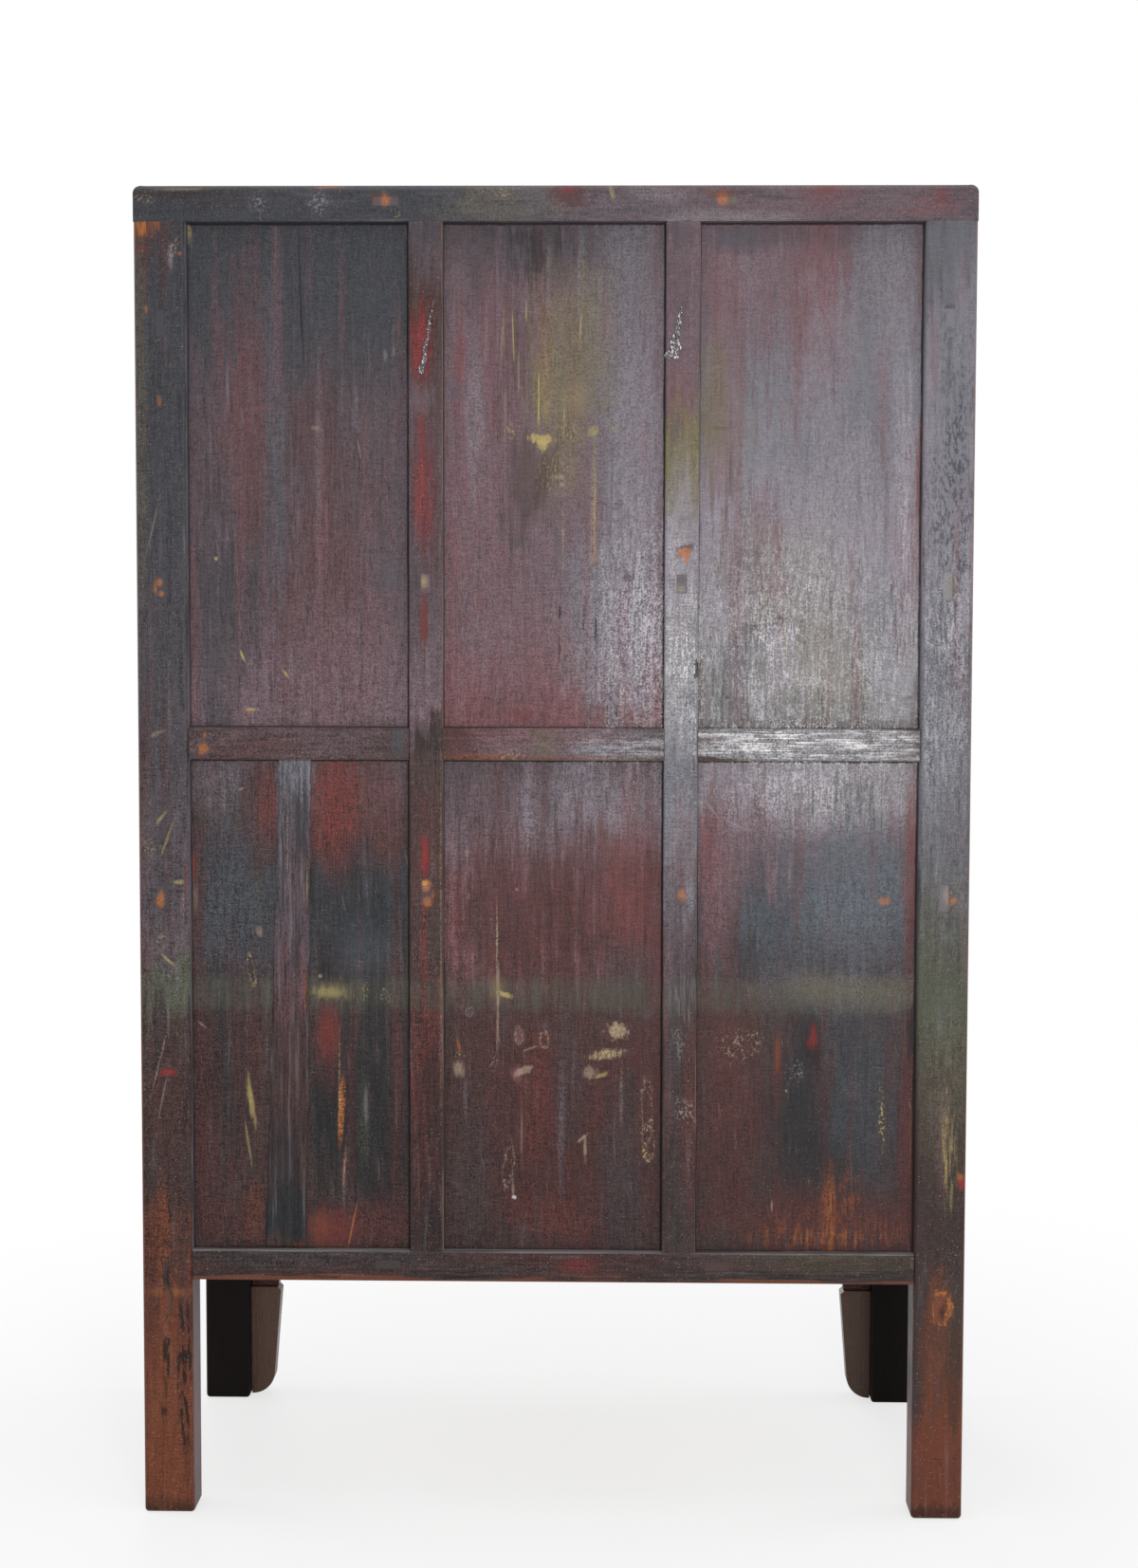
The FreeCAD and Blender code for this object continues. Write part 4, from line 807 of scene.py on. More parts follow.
LOWER_RIGHT_GROUND = ((802, "lavender"), (880, "mauve"), (960, "slate"), (1070, "umber"), (1320, "umber"))
LOWER_RIGHT = (
    streaks("rust", 870, 1285, 70, 40, 0.5),
    streaks("soot", 850, 1170, 60, 110, 0.5),
    # Ash here is partly painted sheen, below the middle rail.
    Mark("ash", 885, 835, 80, 44, 0.75),
    Mark("mauve", 770, 850, 40, 60),
    Mark("sea", 890, 940, 74, 74, 0.95),
    Mark("sea", 800, 985, 26, 46),
    Mark("slate", 880, 1010, 80, 40, 0.4),
    Mark("pewter", 900, 960, 60, 90, 0.32),
    Mark("mauve", 772, 900, 34, 60, 0.5),
    Mark("rose", 752, 950, 18, 90, 0.7),
    Mark("brick", 748, 870, 8, 40, 0.35),
    Mark("night", 790, 1010, 16, 20, 0.4),
    Mark("oxblood", 770, 1160, 38, 130, 0.75),
    Mark("night", 860, 1160, 44, 95, 0.95),
    Mark("sea", 900, 1120, 30, 90, 0.5),
    Mark("slate", 930, 1160, 36, 110, 0.85),
    Mark("night", 900, 1100, 18, 40, 0.5),
    Mark("brick", 962, 920, 8, 110, 0.65),
    Mark("oxblood", 960, 1180, 12, 130, 0.75),
    Mark("night", 962, 1090, 5, 24, 0.9),
    streaks("rust", 962, 1190, 5, 100, 0.9, 0.6),
    Mark("oxblood", 860, 1290, 110, 34, 0.85),
    Mark("rust", 873, 1278, 9, 42, 1),
    flakes("rust", 893, 1270, 12, 30, 0.9, 0.6),
    flakes("rust", 850, 1300, 46, 20, 0.9, 0.6),
    streaks("rust", 915, 1300, 44, 14, 0.8, 0.6),
    streaks("amber", 876, 1268, 4, 30, 0.6, 0.7),
    streaks("amber", 860, 1306, 60, 8, 0.5, 0.7),
    Mark("rust", 820, 1112, 3, 18, 0.8, 0.7),
    Mark("oxblood", 820, 1130, 6, 36, 0.7, 0.7),
    loops("lavender", 838, 1132, 9, 14, 0.5, 0.7),
    Mark("soot", 857, 1096, 8, 26, 0.5, 0.6),
    Mark("scarlet", 857, 1093, 4.5, 13, 0.6, 0.6),
    loops("bone", 775, 1104, 18, 14, 0.9),
    loops("bone", 796, 1098, 9, 9, 0.9),
    crumbs("bone", 845, 1130, 4, 6, 0.35, 0.7),
    Mark("amber", 933, 950, 5.6, 4, 0.72),
    crumbs("straw", 930, 1180, 3, 24, 0.7, 0.7, 3),
    Mark("bone", 814, 1271, 1.2, 5, 0.6, 0.6),
    Mark("oxblood", 956, 1180, 8, 120, 0.55),
    Mark("bone", 829, 1150, 1.6, 1.6, 0.7),
    Mark("lavender", 773, 868, 12, 1.2, 0.7, 0.6, -28),
    Mark("lavender", 748, 850, 12, 1, 0.6, 0.6, -50),
    Mark("rose", 747, 935, 1.2, 30, 0.5, 0.6, 12),
    Mark("ash", 812, 820, 60, 4, 0.4, 0.7),
    Mark("pewter", 890, 1044, 80, 20, 0.4, 0.8),
    Mark("olive", 920, 1046, 46, 16, 0.45, 0.8),
    Mark("olive", 860, 1040, 24, 14, 0.3, 0.8),
)

LEFT_LEG_GROUND = (
    (194, "slate"), (420, "slate"), (960, "dusk"), (1040, "moss"), (1090, "umber"), (1280, "umber"),
    (1370, "rust"), (1597, "rust")
)
LEFT_LEG = (
    flecks("umber", 170, 480, 28, 240, 0.2),
    flecks("soot", 172, 1180, 28, 120, 0.25),
    Mark("brick", 176, 1165, 28, 80, 0.12),
    Mark("brick", 176, 1480, 34, 130, 0.35),
    Mark("amber", 176, 1470, 34, 130, 0.2),
    Mark("oxblood", 192, 1390, 10, 110),
    Mark("oxblood", 160, 1420, 10, 90, 0.35),
    Mark("soot", 172, 1594, 50, 12, 0.9, 0.6),
    streaks("amber", 170, 1470, 14, 110, 0.35),
    Mark("slate", 168, 600, 34, 380, 0.55),
    Mark("rust", 152, 240, 13, 10, 0.8, 0.5, 16),
    streaks("amber", 152, 238, 13, 8, 0.8, 0.5, 16),
    Mark("brick", 146, 262, 8, 6, 0.5, 0.6),
    crumbs("bone", 183, 262, 3.5, 10, 0.6, 0.7, -30),
    Mark("lavender", 180, 275, 2, 12, 0.5, 0.7),
    Mark("amber", 189, 267, 2, 2, 0.59, 0.6),
    Mark("amber", 154, 326, 1.6, 4, 0.59, 0.6),
    Mark("amber", 168, 422, 2.4, 4.8, 0.55, 0.6),
    Mark("amber", 168, 618, 4.8, 8, 0.77, 0.7),
    Mark("bone", 160, 560, 1, 26, 0.35, 0.6, -14),
    Mark("olive", 148, 400, 6, 200, 0.25),
    Mark("bone", 166, 773, 8, 2, 0.45, 0.6, 24),
    Mark("straw", 170, 862, 9, 2, 0.5, 0.6, 52),
    Mark("straw", 176, 885, 1, 16, 0.45, 0.6, -20),
    loops("straw", 160, 895, 8, 10, 0.5, 0.7),
    Mark("amber", 169, 948, 4.8, 8, 0.81, 0.4),
    Mark("straw", 188, 930, 5, 2, 0.6, 0.6),
    loops("bone", 169, 990, 6, 14, 0.6, 0.8),
    Mark("straw", 177, 1012, 9, 1.4, 0.6, 0.5, -42),
    Mark("bone", 170, 1112, 0.8, 40, 0.5, 0.5, -14),
    Mark("scarlet", 177, 1130, 8, 4, 0.85, 0.6),
    Mark("bone", 172, 1155, 0.8, 26, 0.4, 0.6, -12),
    Mark("rust", 170, 1300, 8, 60, 0.7),
    Mark("amber", 178, 1362, 22, 4, 0.35, 0.8),
    Mark("rust", 178, 1450, 26, 130, 0.7),
    Mark("night", 178, 1345, 6, 24, 0.7),
    Mark("umber", 192, 1330, 7, 40),
    Mark("soot", 174, 1488, 3, 5, 0.8, 0.4),
    Mark("oxblood", 160, 1360, 8, 50, 0.5),
    Mark("brick", 196, 930, 2, 20, 0.4),
    streaks("oxblood", 194, 1380, 8, 50, 0.5),
    flakes("soot", 194, 1440, 8, 80, 0.85, 0.4),
    flakes("soot", 176, 1415, 4, 45, 0.85, 0.4),
    flakes("soot", 176, 1345, 5, 26, 0.7, 0.4),
)

RIGHT_LEG_GROUND = (
    (194, "dusk"), (280, "pewter"), (560, "lavender"), (700, "pewter"), (860, "pewter"), (1040, "moss"),
    (1250, "umber"), (1340, "umber"), (1440, "umber"), (1520, "rust"), (1597, "rust")
)
RIGHT_LEG = (
    flecks("slate", 1004, 520, 26, 90, 0.8),
    flecks("night", 1004, 400, 24, 90, 0.3),
    flecks("slate", 1000, 700, 28, 110, 0.35),
    flecks("umber", 1000, 960, 28, 90, 0.35),
    Mark("olive", 996, 1150, 24, 90, 0.3),
    flecks("soot", 1000, 1240, 28, 130, 0.3),
    Mark("moss", 1008, 1420, 16, 90, 0.35),
    Mark("brick", 985, 1540, 34, 60, 0.35),
    Mark("rust", 982, 1440, 14, 60, 0.5),
    Mark("soot", 990, 1596, 50, 9, 0.8, 0.6),
    Mark("sea", 1005, 500, 30, 130, 0.38),
    Mark("slate", 1000, 260, 30, 50, 0.4),
    Mark("rose", 985, 380, 5, 50, 0.4),
    Mark("rose", 1015, 300, 6, 30, 0.3),
    Mark("umber", 1001, 324, 6, 3, 0.6, 0.6),
    Mark("soot", 1002, 352, 6, 2.5, 0.7),
    Mark("olive", 1002, 618, 5, 14, 0.7),
    Mark("rose", 1003, 625, 4, 7, 0.4, 0.6),
    Mark("soot", 1017, 598, 6, 4, 0.6, 0.7),
    Mark("soot", 1008, 692, 8, 3, 0.5, 0.7),
    Mark("slate", 1000, 900, 26, 70, 0.35),
    streaks("umber", 990, 1180, 14, 90, 0.5),
    crumbs("bone", 1001, 945, 13, 15, 0.35, 0.8),
    Mark("amber", 1005, 950, 4, 4, 0.64, 0.6),
    streaks("straw", 999, 1215, 7, 40, 0.7, 0.7, 4),
    Mark("scarlet", 1015, 1247, 5, 8, 0.9, 0.4),
    Mark("amber", 1013, 1240, 3.2, 4, 0.59, 0.6),
    Mark("rust", 992, 1370, 12, 30),
    Mark("rust", 995, 1480, 26, 110, 0.5),
    rim("amber", 993, 1378, 9, 15, 0.9, 0.3),
    Mark("amber", 993, 1363, 6, 1.8, 0.7),
    Mark("amber", 1001, 1376, 1.8, 10, 0.6, 0.6),
    Mark("amber", 986, 1388, 1.8, 6, 0.7, 0.6),
    rim("soot", 986, 1541, 5, 3.5, 0.8, 0.3),
    Mark("soot", 1006, 1440, 8, 60, 0.35),
    Mark("bone", 998, 1180, 1.2, 4, 0.6, 0.6),
    Mark("bone", 998, 1150, 1.2, 4, 0.5, 0.6),
)

LEFT_MUNTIN_GROUND = (
    (234, "dusk"), (330, "umber"), (420, "dusk"), (600, "dusk"), (760, "mauve"), (790, "umber"),
    (900, "umber"), (1000, "umber"), (1080, "oxblood"), (1320, "umber")
)
LEFT_MUNTIN = (
    Mark("slate", 445, 245, 20, 16, 0.5),
    Mark("slate", 446, 285, 14, 30, 0.25),
    Mark("oxblood", 446, 350, 12, 60, 0.8),
    Mark("scarlet", 443, 365, 8, 34, 0.65, 0.6),
    Mark("oxblood", 447, 500, 12, 90),
    Mark("scarlet", 446, 515, 9, 50, 0.55, 0.6),
    Mark("scarlet", 444, 460, 3, 24, 0.5, 0.7),
    Mark("brick", 447, 655, 4, 26, 0.75, 0.7),
    Mark("slate", 438, 640, 6, 40, 0.3),
    Mark("soot", 448, 775, 20, 20, 0.4),
    Mark("lavender", 445, 420, 12, 16, 0.2),
    Mark("oxblood", 450, 900, 14, 70),
    Mark("scarlet", 448, 903, 4, 18, 0.85, 0.6),
    Mark("amber", 449, 932, 4.5, 4.5, 0.95, 0.3),
    Mark("straw", 448, 931, 2.5, 2, 0.8, 0.4),
    Mark("amber", 451, 947, 6, 8, 0.9, 0.4),
    loops("straw", 451, 949, 4, 5, 0.8),
    Mark("brick", 447, 995, 4, 46, 0.75, 0.7),
    Mark("brick", 449, 1085, 4, 36, 0.7, 0.7),
    Mark("oxblood", 452, 1240, 12, 60, 0.5),
    Mark("night", 460, 1270, 8, 60, 0.4),
    streaks("soot", 452, 1190, 16, 130, 0.5),
    Mark("soot", 452, 1230, 18, 120, 0.52),
    Mark("bone", 465, 1000, 1, 160, 0.25, 0.7),
)

RIGHT_MUNTIN_GROUND = (
    # The ash row is partly painted sheen.
    (234, "mauve"), (420, "mauve"), (485, "olive"), (560, "lavender"), (700, "ash"), (800, "pewter"),
    (900, "pewter"), (980, "dusk"), (1080, "umber"), (1320, "umber")
)
RIGHT_MUNTIN = (
    Mark("slate", 718, 245, 18, 14, 0.5),
    Mark("slate", 718, 285, 18, 36, 0.25),
    Mark("rose", 716, 420, 14, 34, 0.5),
    Mark("olive", 722, 510, 14, 60, 0.3),
    Mark("umber", 723, 577, 8, 4, 0.8, 0.4),
    Mark("amber", 722, 582, 6, 5, 0.95, 0.3),
    Mark("amber", 724, 589, 3, 5, 0.9, 0.4),
    Mark("soot", 735, 705, 3, 7, 1, 0.3),
    Mark("soot", 733, 713, 4, 2, 0.8, 0.4),
    streaks("soot", 722, 1200, 16, 130, 0.4),
    Mark("slate", 722, 1240, 14, 80, 0.3),
    Mark("amber", 719, 945, 4.8, 6.4, 0.68, 0.6),
    crumbs("straw", 717, 943, 3, 3, 0.5, 0.6),
    Mark("slate", 719, 948, 3, 3, 0.6, 0.6),
    streaks("pewter", 722, 1055, 13, 26, 0.6, 0.8),
    Mark("brick", 728, 1200, 8, 110, 0.35),
    Mark("oxblood", 722, 1180, 12, 90, 0.4),
    crumbs("bone", 716, 1100, 5, 14, 0.5, 0.8),
    crumbs("bone", 724, 1170, 8, 10, 0.45, 0.9),
    crumbs("sea", 718, 1100, 8, 12, 0.6, 0.9),
    crumbs("lavender", 720, 1170, 9, 8, 0.5, 0.9),
    crumbs("bone", 734, 1180, 3, 8, 0.5, 0.7),
    Mark("slate", 712, 1120, 8, 60, 0.35),
    Mark("rose", 720, 900, 12, 60, 0.35),
    Mark("rose", 715, 660, 3, 60, 0.25, 0.8),
)

TOP_RAIL_GROUND = ((194, "slate"), (234, "slate"))
TOP_RAIL = (
    Mark("dusk", 560, 215, 90, 30, 0.55),
    Mark("mauve", 700, 215, 130, 40, 0.8),
    Mark("mauve", 900, 215, 150, 40, 0.85),
    Mark("olive", 520, 210, 60, 22, 0.35),
    Mark("sea", 590, 215, 120, 24, 0.25),
    Mark("oxblood", 600, 206, 22, 12, 0.7),
    Mark("scarlet", 598, 200, 7, 4, 0.5, 0.7),
    Mark("rose", 870, 206, 26, 14, 0.55),
    Mark("brick", 872, 200, 12, 5, 0.5, 0.7),
    Mark("rose", 985, 216, 30, 10),
    Mark("brick", 993, 205, 6, 8, 0.5, 0.7),
    Mark("ash", 760, 228, 60, 6, 0.3),
    Mark("lavender", 700, 205, 30, 10, 0.3),
    crumbs("lavender", 336, 212, 9, 12, 0.6, 0.8),
    crumbs("lavender", 272, 214, 8, 10, 0.5, 0.8),
    Mark("amber", 405, 209, 4, 7.2, 0.72, 0.6),
    Mark("rust", 396, 207, 7, 5, 0.3, 0.8),
    Mark("amber", 762, 209, 5.6, 6.4, 0.77, 0.6),
    Mark("rust", 760, 205, 15, 8, 0.5, 0.8),
    crumbs("bone", 153, 210, 8, 4, 0.5, 0.8),
    Mark("bone", 190, 199, 24, 1.6, 0.4, 0.7),
    Mark("amber", 345, 197, 14, 1.6, 0.6, 0.7),
    crumbs("straw", 530, 204, 6, 5, 0.4, 0.8),
    Mark("straw", 645, 202, 2, 8, 0.5, 0.7, 14),
    crumbs("bone", 590, 222, 3, 7, 0.4, 0.7),
    crumbs("straw", 418, 224, 3, 5, 0.5, 0.7),
    Mark("sea", 560, 212, 14, 16, 0.35, 0.8),
)

MIDDLE_RAIL_GROUND = ((767, "umber"), (802, "umber"))
MIDDLE_RAIL = (
    Mark("mauve", 300, 785, 110, 24, 0.5),
    Mark("oxblood", 270, 790, 40, 12, 0.4),
    Mark("amber", 214, 789, 4.8, 5.6, 0.81),
    Mark("amber", 216, 775, 1.9, 2.4, 0.59),
    Mark("sea", 421, 784, 7, 16, 0.5, 0.8),
    Mark("oxblood", 500, 785, 40, 24, 0.7),
    Mark("mauve", 600, 785, 90, 30, 0.9),
    Mark("rose", 560, 778, 60, 12, 0.4),
    Mark("pewter", 660, 785, 50, 30, 0.7),
    Mark("rust", 500, 799, 40, 4, 0.6, 0.8),
    Mark("rust", 570, 799, 120, 3, 0.45, 0.8),
    crumbs("bone", 538, 796, 14, 6, 0.5, 0.8),
    Mark("olive", 575, 785, 12, 16, 0.4, 0.8),
    Mark("rose", 640, 776, 40, 8, 0.4),
    # Painted sheen on the right of the rail, over its rubbed grey.
    Mark("ash", 850, 785, 130, 34, 1, 0.3),
)

LOW_RAIL_GROUND = ((1320, "umber"), (1353, "umber"))
LOW_RAIL = (
    Mark("soot", 630, 1330, 90, 12, 0.1),
    streaks("soot", 330, 1336, 130, 14, 0.65),
    streaks("soot", 640, 1340, 200, 14, 0.7),
    streaks("soot", 880, 1336, 110, 14, 0.7),
    Mark("slate", 330, 1330, 110, 10, 0.5),
    Mark("oxblood", 620, 1334, 90, 16, 0.5),
    Mark("scarlet", 610, 1334, 16, 7, 0.35, 0.8),
    Mark("olive", 850, 1330, 100, 12, 0.3),
    Mark("slate", 760, 1328, 60, 8, 0.4),
    Mark("soot", 413, 1334, 13, 1.2, 0.35, 0.6),
    Mark("soot", 860, 1338, 110, 14, 0.2),
    crumbs("bone", 965, 1330, 4, 7, 0.4, 0.8),
)

# The ends of the tenons that come through the back

TENON_ENDS = (
    Mark("rust", 168, 1376, 12, 40, 1, 0.2),
    Mark("rust", 992, 1380, 12, 40, 1, 0.2),
    Mark("soot", 413, 1334, 24, 12, 0.45, 0.2),
    Mark("oxblood", 757, 1337, 24, 12, 0.5, 0.2),
    Mark("soot", 757, 1337, 24, 12, 0.3, 0.2),
    Mark("pewter", 719, 616, 12, 20, 0.8, 0.2),
    Mark("mauve", 447, 616, 12, 20, 0.6, 0.2),
    Mark("ash", 1003, 618, 12, 20, 0.7, 0.2),
    Mark("pewter", 1002, 340, 12, 20, 0.7, 0.2),
    Mark("dusk", 719, 946, 12, 20, 0.6, 0.2),
    Mark("umber", 449, 944, 12, 20, 0.6, 0.2),
    Mark("amber", 406, 210, 5, 8, 0.8),
    Mark("rust", 397, 208, 4, 6, 0.25),
    Mark("amber", 762, 210, 6, 7, 0.85, 0.4),
    Mark("olive", 775, 210, 6, 5),
    Mark("amber", 168, 614, 3, 4, 0.8),
    Mark("amber", 170, 626, 3, 3, 0.7),
    Mark("amber", 168, 948, 5, 10, 0.9, 0.4),
    Mark("olive", 1002, 618, 5, 13, 0.5),
    Mark("umber", 1002, 348, 6, 4, 0.5),
    Mark("straw", 447, 613, 4, 7, 0.5),
    Mark("oxblood", 448, 622, 4, 3, 0.5),
    Mark("umber", 719, 611, 5, 6, 0.5),
    Mark("straw", 718, 621, 4, 3, 0.4),
    Mark("amber", 449, 935, 4, 5, 0.9, 0.4),
    Mark("oxblood", 450, 943, 5, 2.5, 0.7),
    Mark("amber", 451, 951, 5, 5, 0.7),
    Mark("amber", 720, 944, 5, 7, 0.75),
    Mark("umber", 717, 950, 3, 3),
    Mark("bone", 1000, 944, 5, 9),
    Mark("amber", 1003, 950, 4, 4, 0.7),
    Mark("rust", 992, 1378, 6, 12, 0.7),
    Mark("soot", 994, 1384, 4, 7, 0.8),
    flecks("soot", 166, 1376, 5, 14, 0.5),
    Mark("rust", 163, 1368, 3, 4, 0.5),
)

# The seam cloth: the two ends of its top and of its foot in the photograph, then its marks

STRIP_TOP = ((328, 803), (294, 803))
STRIP_FOOT = ((323, 1318), (281, 1318))
SEAM_CLOTH = (
    streaks("slate", 310, 840, 14, 40),
    Mark("lavender", 308, 815, 3, 14, 0.5, 0.7),
    Mark("lavender", 318, 850, 1.4, 30, 0.5, 0.6),
    # Painted highlight along the fold.
    streaks("lavender", 306, 930, 5, 80, 0.25),
    streaks("slate", 303, 1130, 14, 60, 0.5),
    Mark("sea", 307, 1000, 14, 50, 0.25),
    Mark("oxblood", 306, 1100, 14, 120, 0.35),
    Mark("sea", 292, 900, 3, 50),
    # Painted shade in the creases of the fold, in these two marks.
    Mark("night", 298, 905, 1.6, 50, 0.9, 0.4),
    Mark("night", 316, 880, 5, 34, 0.7),
    Mark("umber", 315, 960, 3, 70, 0.5),
    Mark("bone", 303, 880, 0.8, 40, 0.4),
    Mark("rose", 319, 1035, 3.5, 34, 0.8),
    Mark("amber", 322, 1045, 1.4, 22, 0.5),
    Mark("straw", 324, 930, 0.9, 22, 0.4),
    Mark("night", 312, 1010, 6, 16),
    Mark("rose", 300, 1045, 9, 50, 0.35),
    Mark("night", 300, 1240, 20, 50),
    Mark("umber", 302, 1312, 22, 8, 0.8),
    Mark("rust", 315, 1312, 5, 3),
)


# The noises of the lacquer: patch width and length in metres, detail and seed; a rail's hair is longer

LACQUER_NOISES = {
    "weave": (0.0026, 0.0026, 3, 1),
    "thread": (0.014, 0.0018, 1, 12),
    "hair": (0.0016, 0.022, 3, 2),
    "brush": (0.009, 0.13, 4, 3),
    "wide": (0.030, 0.40, 3, 4),
    "cloud": (0.06, 0.09, 5, 9),
    "furrow": (0.0042, 0.040, 3, 71),
    "chip": (0.0060, 0.0120, 3, 72),
}
RAIL_NOISES = {**LACQUER_NOISES, "hair": (0.0016, 0.08, 3, 2)}
Texture = namedtuple("Texture", LACQUER_NOISES)


def lacquer_texture(coat, noises):
    """The noises of a lacquer, and what the edges and insides of its marks are broken up by."""
    texture = Texture(*(coat.noise(*values) for values in noises.values()))
    weave, thread, hair, brush, wide, cloud, furrow, chip = texture
    coat.kept["wide rag"] = (brush - 0.5) * 2.2 + (cloud - 0.5) * 1.8 + (hair - 0.5) * 0.9
    coat.kept["small rag"] = (chip - 0.5) * 2.4 + (furrow - 0.5) * 1.6 + (weave - 0.5) * 1.6
    coat.kept["rubbed"] = coat.step(weave * 0.5 + chip * 0.3 + hair * 0.2, 0.38, 0.56, 0.5, 1.0)
    return texture


def ground_colour(coat, texture, ground, depth):
    """The lacquer's ground: two colours in clouds, or colours by their rows in the photograph."""
    if isinstance(ground[0], str):
        patchy = texture.cloud * 0.5 + texture.brush * 0.3 + texture.wide * 0.2
        return coat.mix(tone(ground[0]), tone(ground[1]), coat.step(patchy, 0.40, 0.68))
    levels = [seen(PHOTO_WIDE / 2, row, depth).z for row, word in ground]
    highest, lowest = levels[0], levels[-1]
    places = [(level - lowest) / (highest - lowest) for level in levels]
    stops = [(place, tone(word)) for place, (row, word) in zip(places, ground)]
    uneven = coat.z + (texture.brush - 0.5) * 0.12 + (texture.wide - 0.5) * 0.25
    share = (uneven + (texture.cloud - 0.5) * 0.2 - lowest) / (highest - lowest)
    return coat.node("ShaderNodeValToRGB", {"stops": stops[::-1]}, {0: share})


def kept_polish(coat, texture, fibre, depth):
    """The patches that still shine, broken up by the fibres of the grain."""
    polish = coat.patch(POLISHED[0], depth)
    for mark in POLISHED[1:]:
        polish = polish.at_least(coat.patch(mark, depth))
    glint = texture.weave * (0.90 - fibre) + texture.hair * fibre
    glint = glint + texture.furrow * 0.30 + texture.chip * 0.30
    return polish * coat.step(glint, 0.68, 0.90) * coat.step(texture.cloud, 0.34, 0.62, 0.5, 1.3)


def back_contrast(coat):
    """How strongly the back's texture shows: less high up, at the feet and on the photograph's right."""
    by_height = coat.step(coat.z, 0.7, 1.0, 1.15, 0.88) * coat.step(coat.z, 1.0, 1.6, 1.0, 0.68)
    calm = coat.step(coat.z, 0.29, 0.37, FOOT_CALM, 1.0)
    return by_height * calm * coat.step(coat.x, -0.5, 0.35, 0.72, 1.3)


def lay_dirt(coat, texture, contrast):
    """Dirt in hollows and cracks, fine scratches, and specks down to the ground coat."""
    coat.lay(tone("soot"), coat.step(texture.hair, 0.36, 0.24, 0.0, 0.25) * contrast)
    coat.lay(tone("soot"), coat.step(texture.furrow, 0.34, 0.22, 0.0, 0.3) * contrast)
    split = coat.noise(0.0011, 0.22, 1, 23)
    coat.lay(tone("soot"), coat.step(split, 0.74, 0.80, 0.0, 0.5))
    scored = coat.scratches(12, 0.0010, 0.040, 51) * 0.5
    scored = scored.at_least(coat.scratches(-34, 0.0010, 0.030, 57) * 0.45)
    scored = scored.at_least(coat.scratches(82, 0.0010, 0.022, 61) * 0.4)
    coat.lay(tone("lavender"), scored * coat.step(texture.cloud, 0.4, 0.6, 0.3, 1.0))
    speck = coat.noise(0.0018, 0.0024, 0, 21)
    coat.lay(tone("bone"), coat.step(speck, 0.76, 0.84, 0.0, 0.5))


def lay_small_marks(coat, marks, depth):
    """Marks over the streaks and the dirt; they are dull, and the strongest leave a dent."""
    for mark in marks:
        share = coat.patch(mark, depth)
        coat.lay(tone(mark.colour), share)
        coat.rough = coat.blend(coat.rough, MARK_ROUGHNESS, share)
        if mark.strength > DEEP:
            coat.relief = coat.relief - share * 0.3


def old_lacquer(
    name, grain, ground, marks=(), depth=None, gloss=PLAIN_GLOSS, edge_wear_and_light=(), tints=("rose", "slate"),
    normal="y", across=None,
):
    """Old lacquer: a ground, broad streaks, marks, the stain line, scratches and dirt.

    The ground is a list of photograph rows and colours, or the names of two colours. Edge wear and light
    is a list of edge lines, each with its colour and how much of it shows: rubbed colour from beneath,
    painted shade inside the openings of panels and painted highlights on arrises.
    Across says where the grain runs the other way.
    """
    coat = Coat(name, grain, normal)
    if across:
        coat.turn_grain(across(coat))
    rail = grain == "x"
    texture = lacquer_texture(coat, RAIL_NOISES if rail else LACQUER_NOISES)
    weave, thread, hair, brush, wide, cloud, furrow, chip = texture
    coat.colour = ground_colour(coat, texture, ground, depth)
    coat.rough = gloss + (brush - 0.5) * 0.35 + (cloud - 0.5) * 0.35 + (weave - 0.5) * 0.25
    coat.relief = weave * 0.5 + thread * 0.2 + hair * 0.5 + brush * 0.4 + furrow * 0.9
    if marks:
        coat.kept["polish"] = kept_polish(coat, texture, RAIL_FIBRE if rail else PANEL_FIBRE, depth)
    large = [mark for mark in marks if max(mark.wide, mark.high) > WIDE_MARK]
    small = [mark for mark in marks if max(mark.wide, mark.high) <= WIDE_MARK]
    for mark in large:
        coat.lay(tone(mark.colour), coat.patch(mark, depth))
    coat.lay(tone(tints[0]), coat.step(wide, 0.52, 0.68, 0.0, 0.35))
    coat.lay(tone(tints[1]), coat.step(brush, 0.46, 0.28, 0.0, 0.35))
    coat.lay(tone("lavender"), coat.step(brush, 0.58, 0.74, 0.0, 0.16))
    tooth = weave * 2.3 + thread * 0.8 + hair * 0.55 + furrow * 0.6 + chip * 0.75 + brush * 0.3 + cloud * 0.4
    contrast = back_contrast(coat) if marks else PLAIN_CONTRAST
    # The tooth varies the tone, and the colour darkens towards the bottom.
    coat.shade(((tooth - 2.85) * contrast + 0.95).at_least(0.2) * coat.step(coat.z, 0.35, 1.0, 0.78, 1.0))
    if marks:
        stain = coat.step((coat.z - STAIN_LEVEL + (cloud - 0.5) * 0.02).size(), *STAIN_HALF, 0.42, 0.0)
        coat.lay(tone("moss"), stain * coat.step(brush, 0.38, 0.6, 0.4, 1.0))
    lay_dirt(coat, texture, contrast)
    lay_small_marks(coat, small, depth)
    # The edge lines are of three kinds: rubbed colour, painted shade and painted highlights; each is laid
    # with a matt roughness.
    for where, word, share in edge_wear_and_light:
        rubbed = where(coat, hair, brush) * share
        coat.lay(tone(word), rubbed)
        coat.rough = coat.blend(coat.rough, EDGE_ROUGHNESS, rubbed)
    return coat


def paint(node, grain, ground, marks, depth, edge_wear_and_light, tints):
    """Paints one member of the back, and lines it with bare wood."""
    coat = old_lacquer(node + "_finish", grain, ground, marks, depth, BACK_GLOSS, edge_wear_and_light, tints)
    line_inside(coat)
    finish(coat.done(), node)


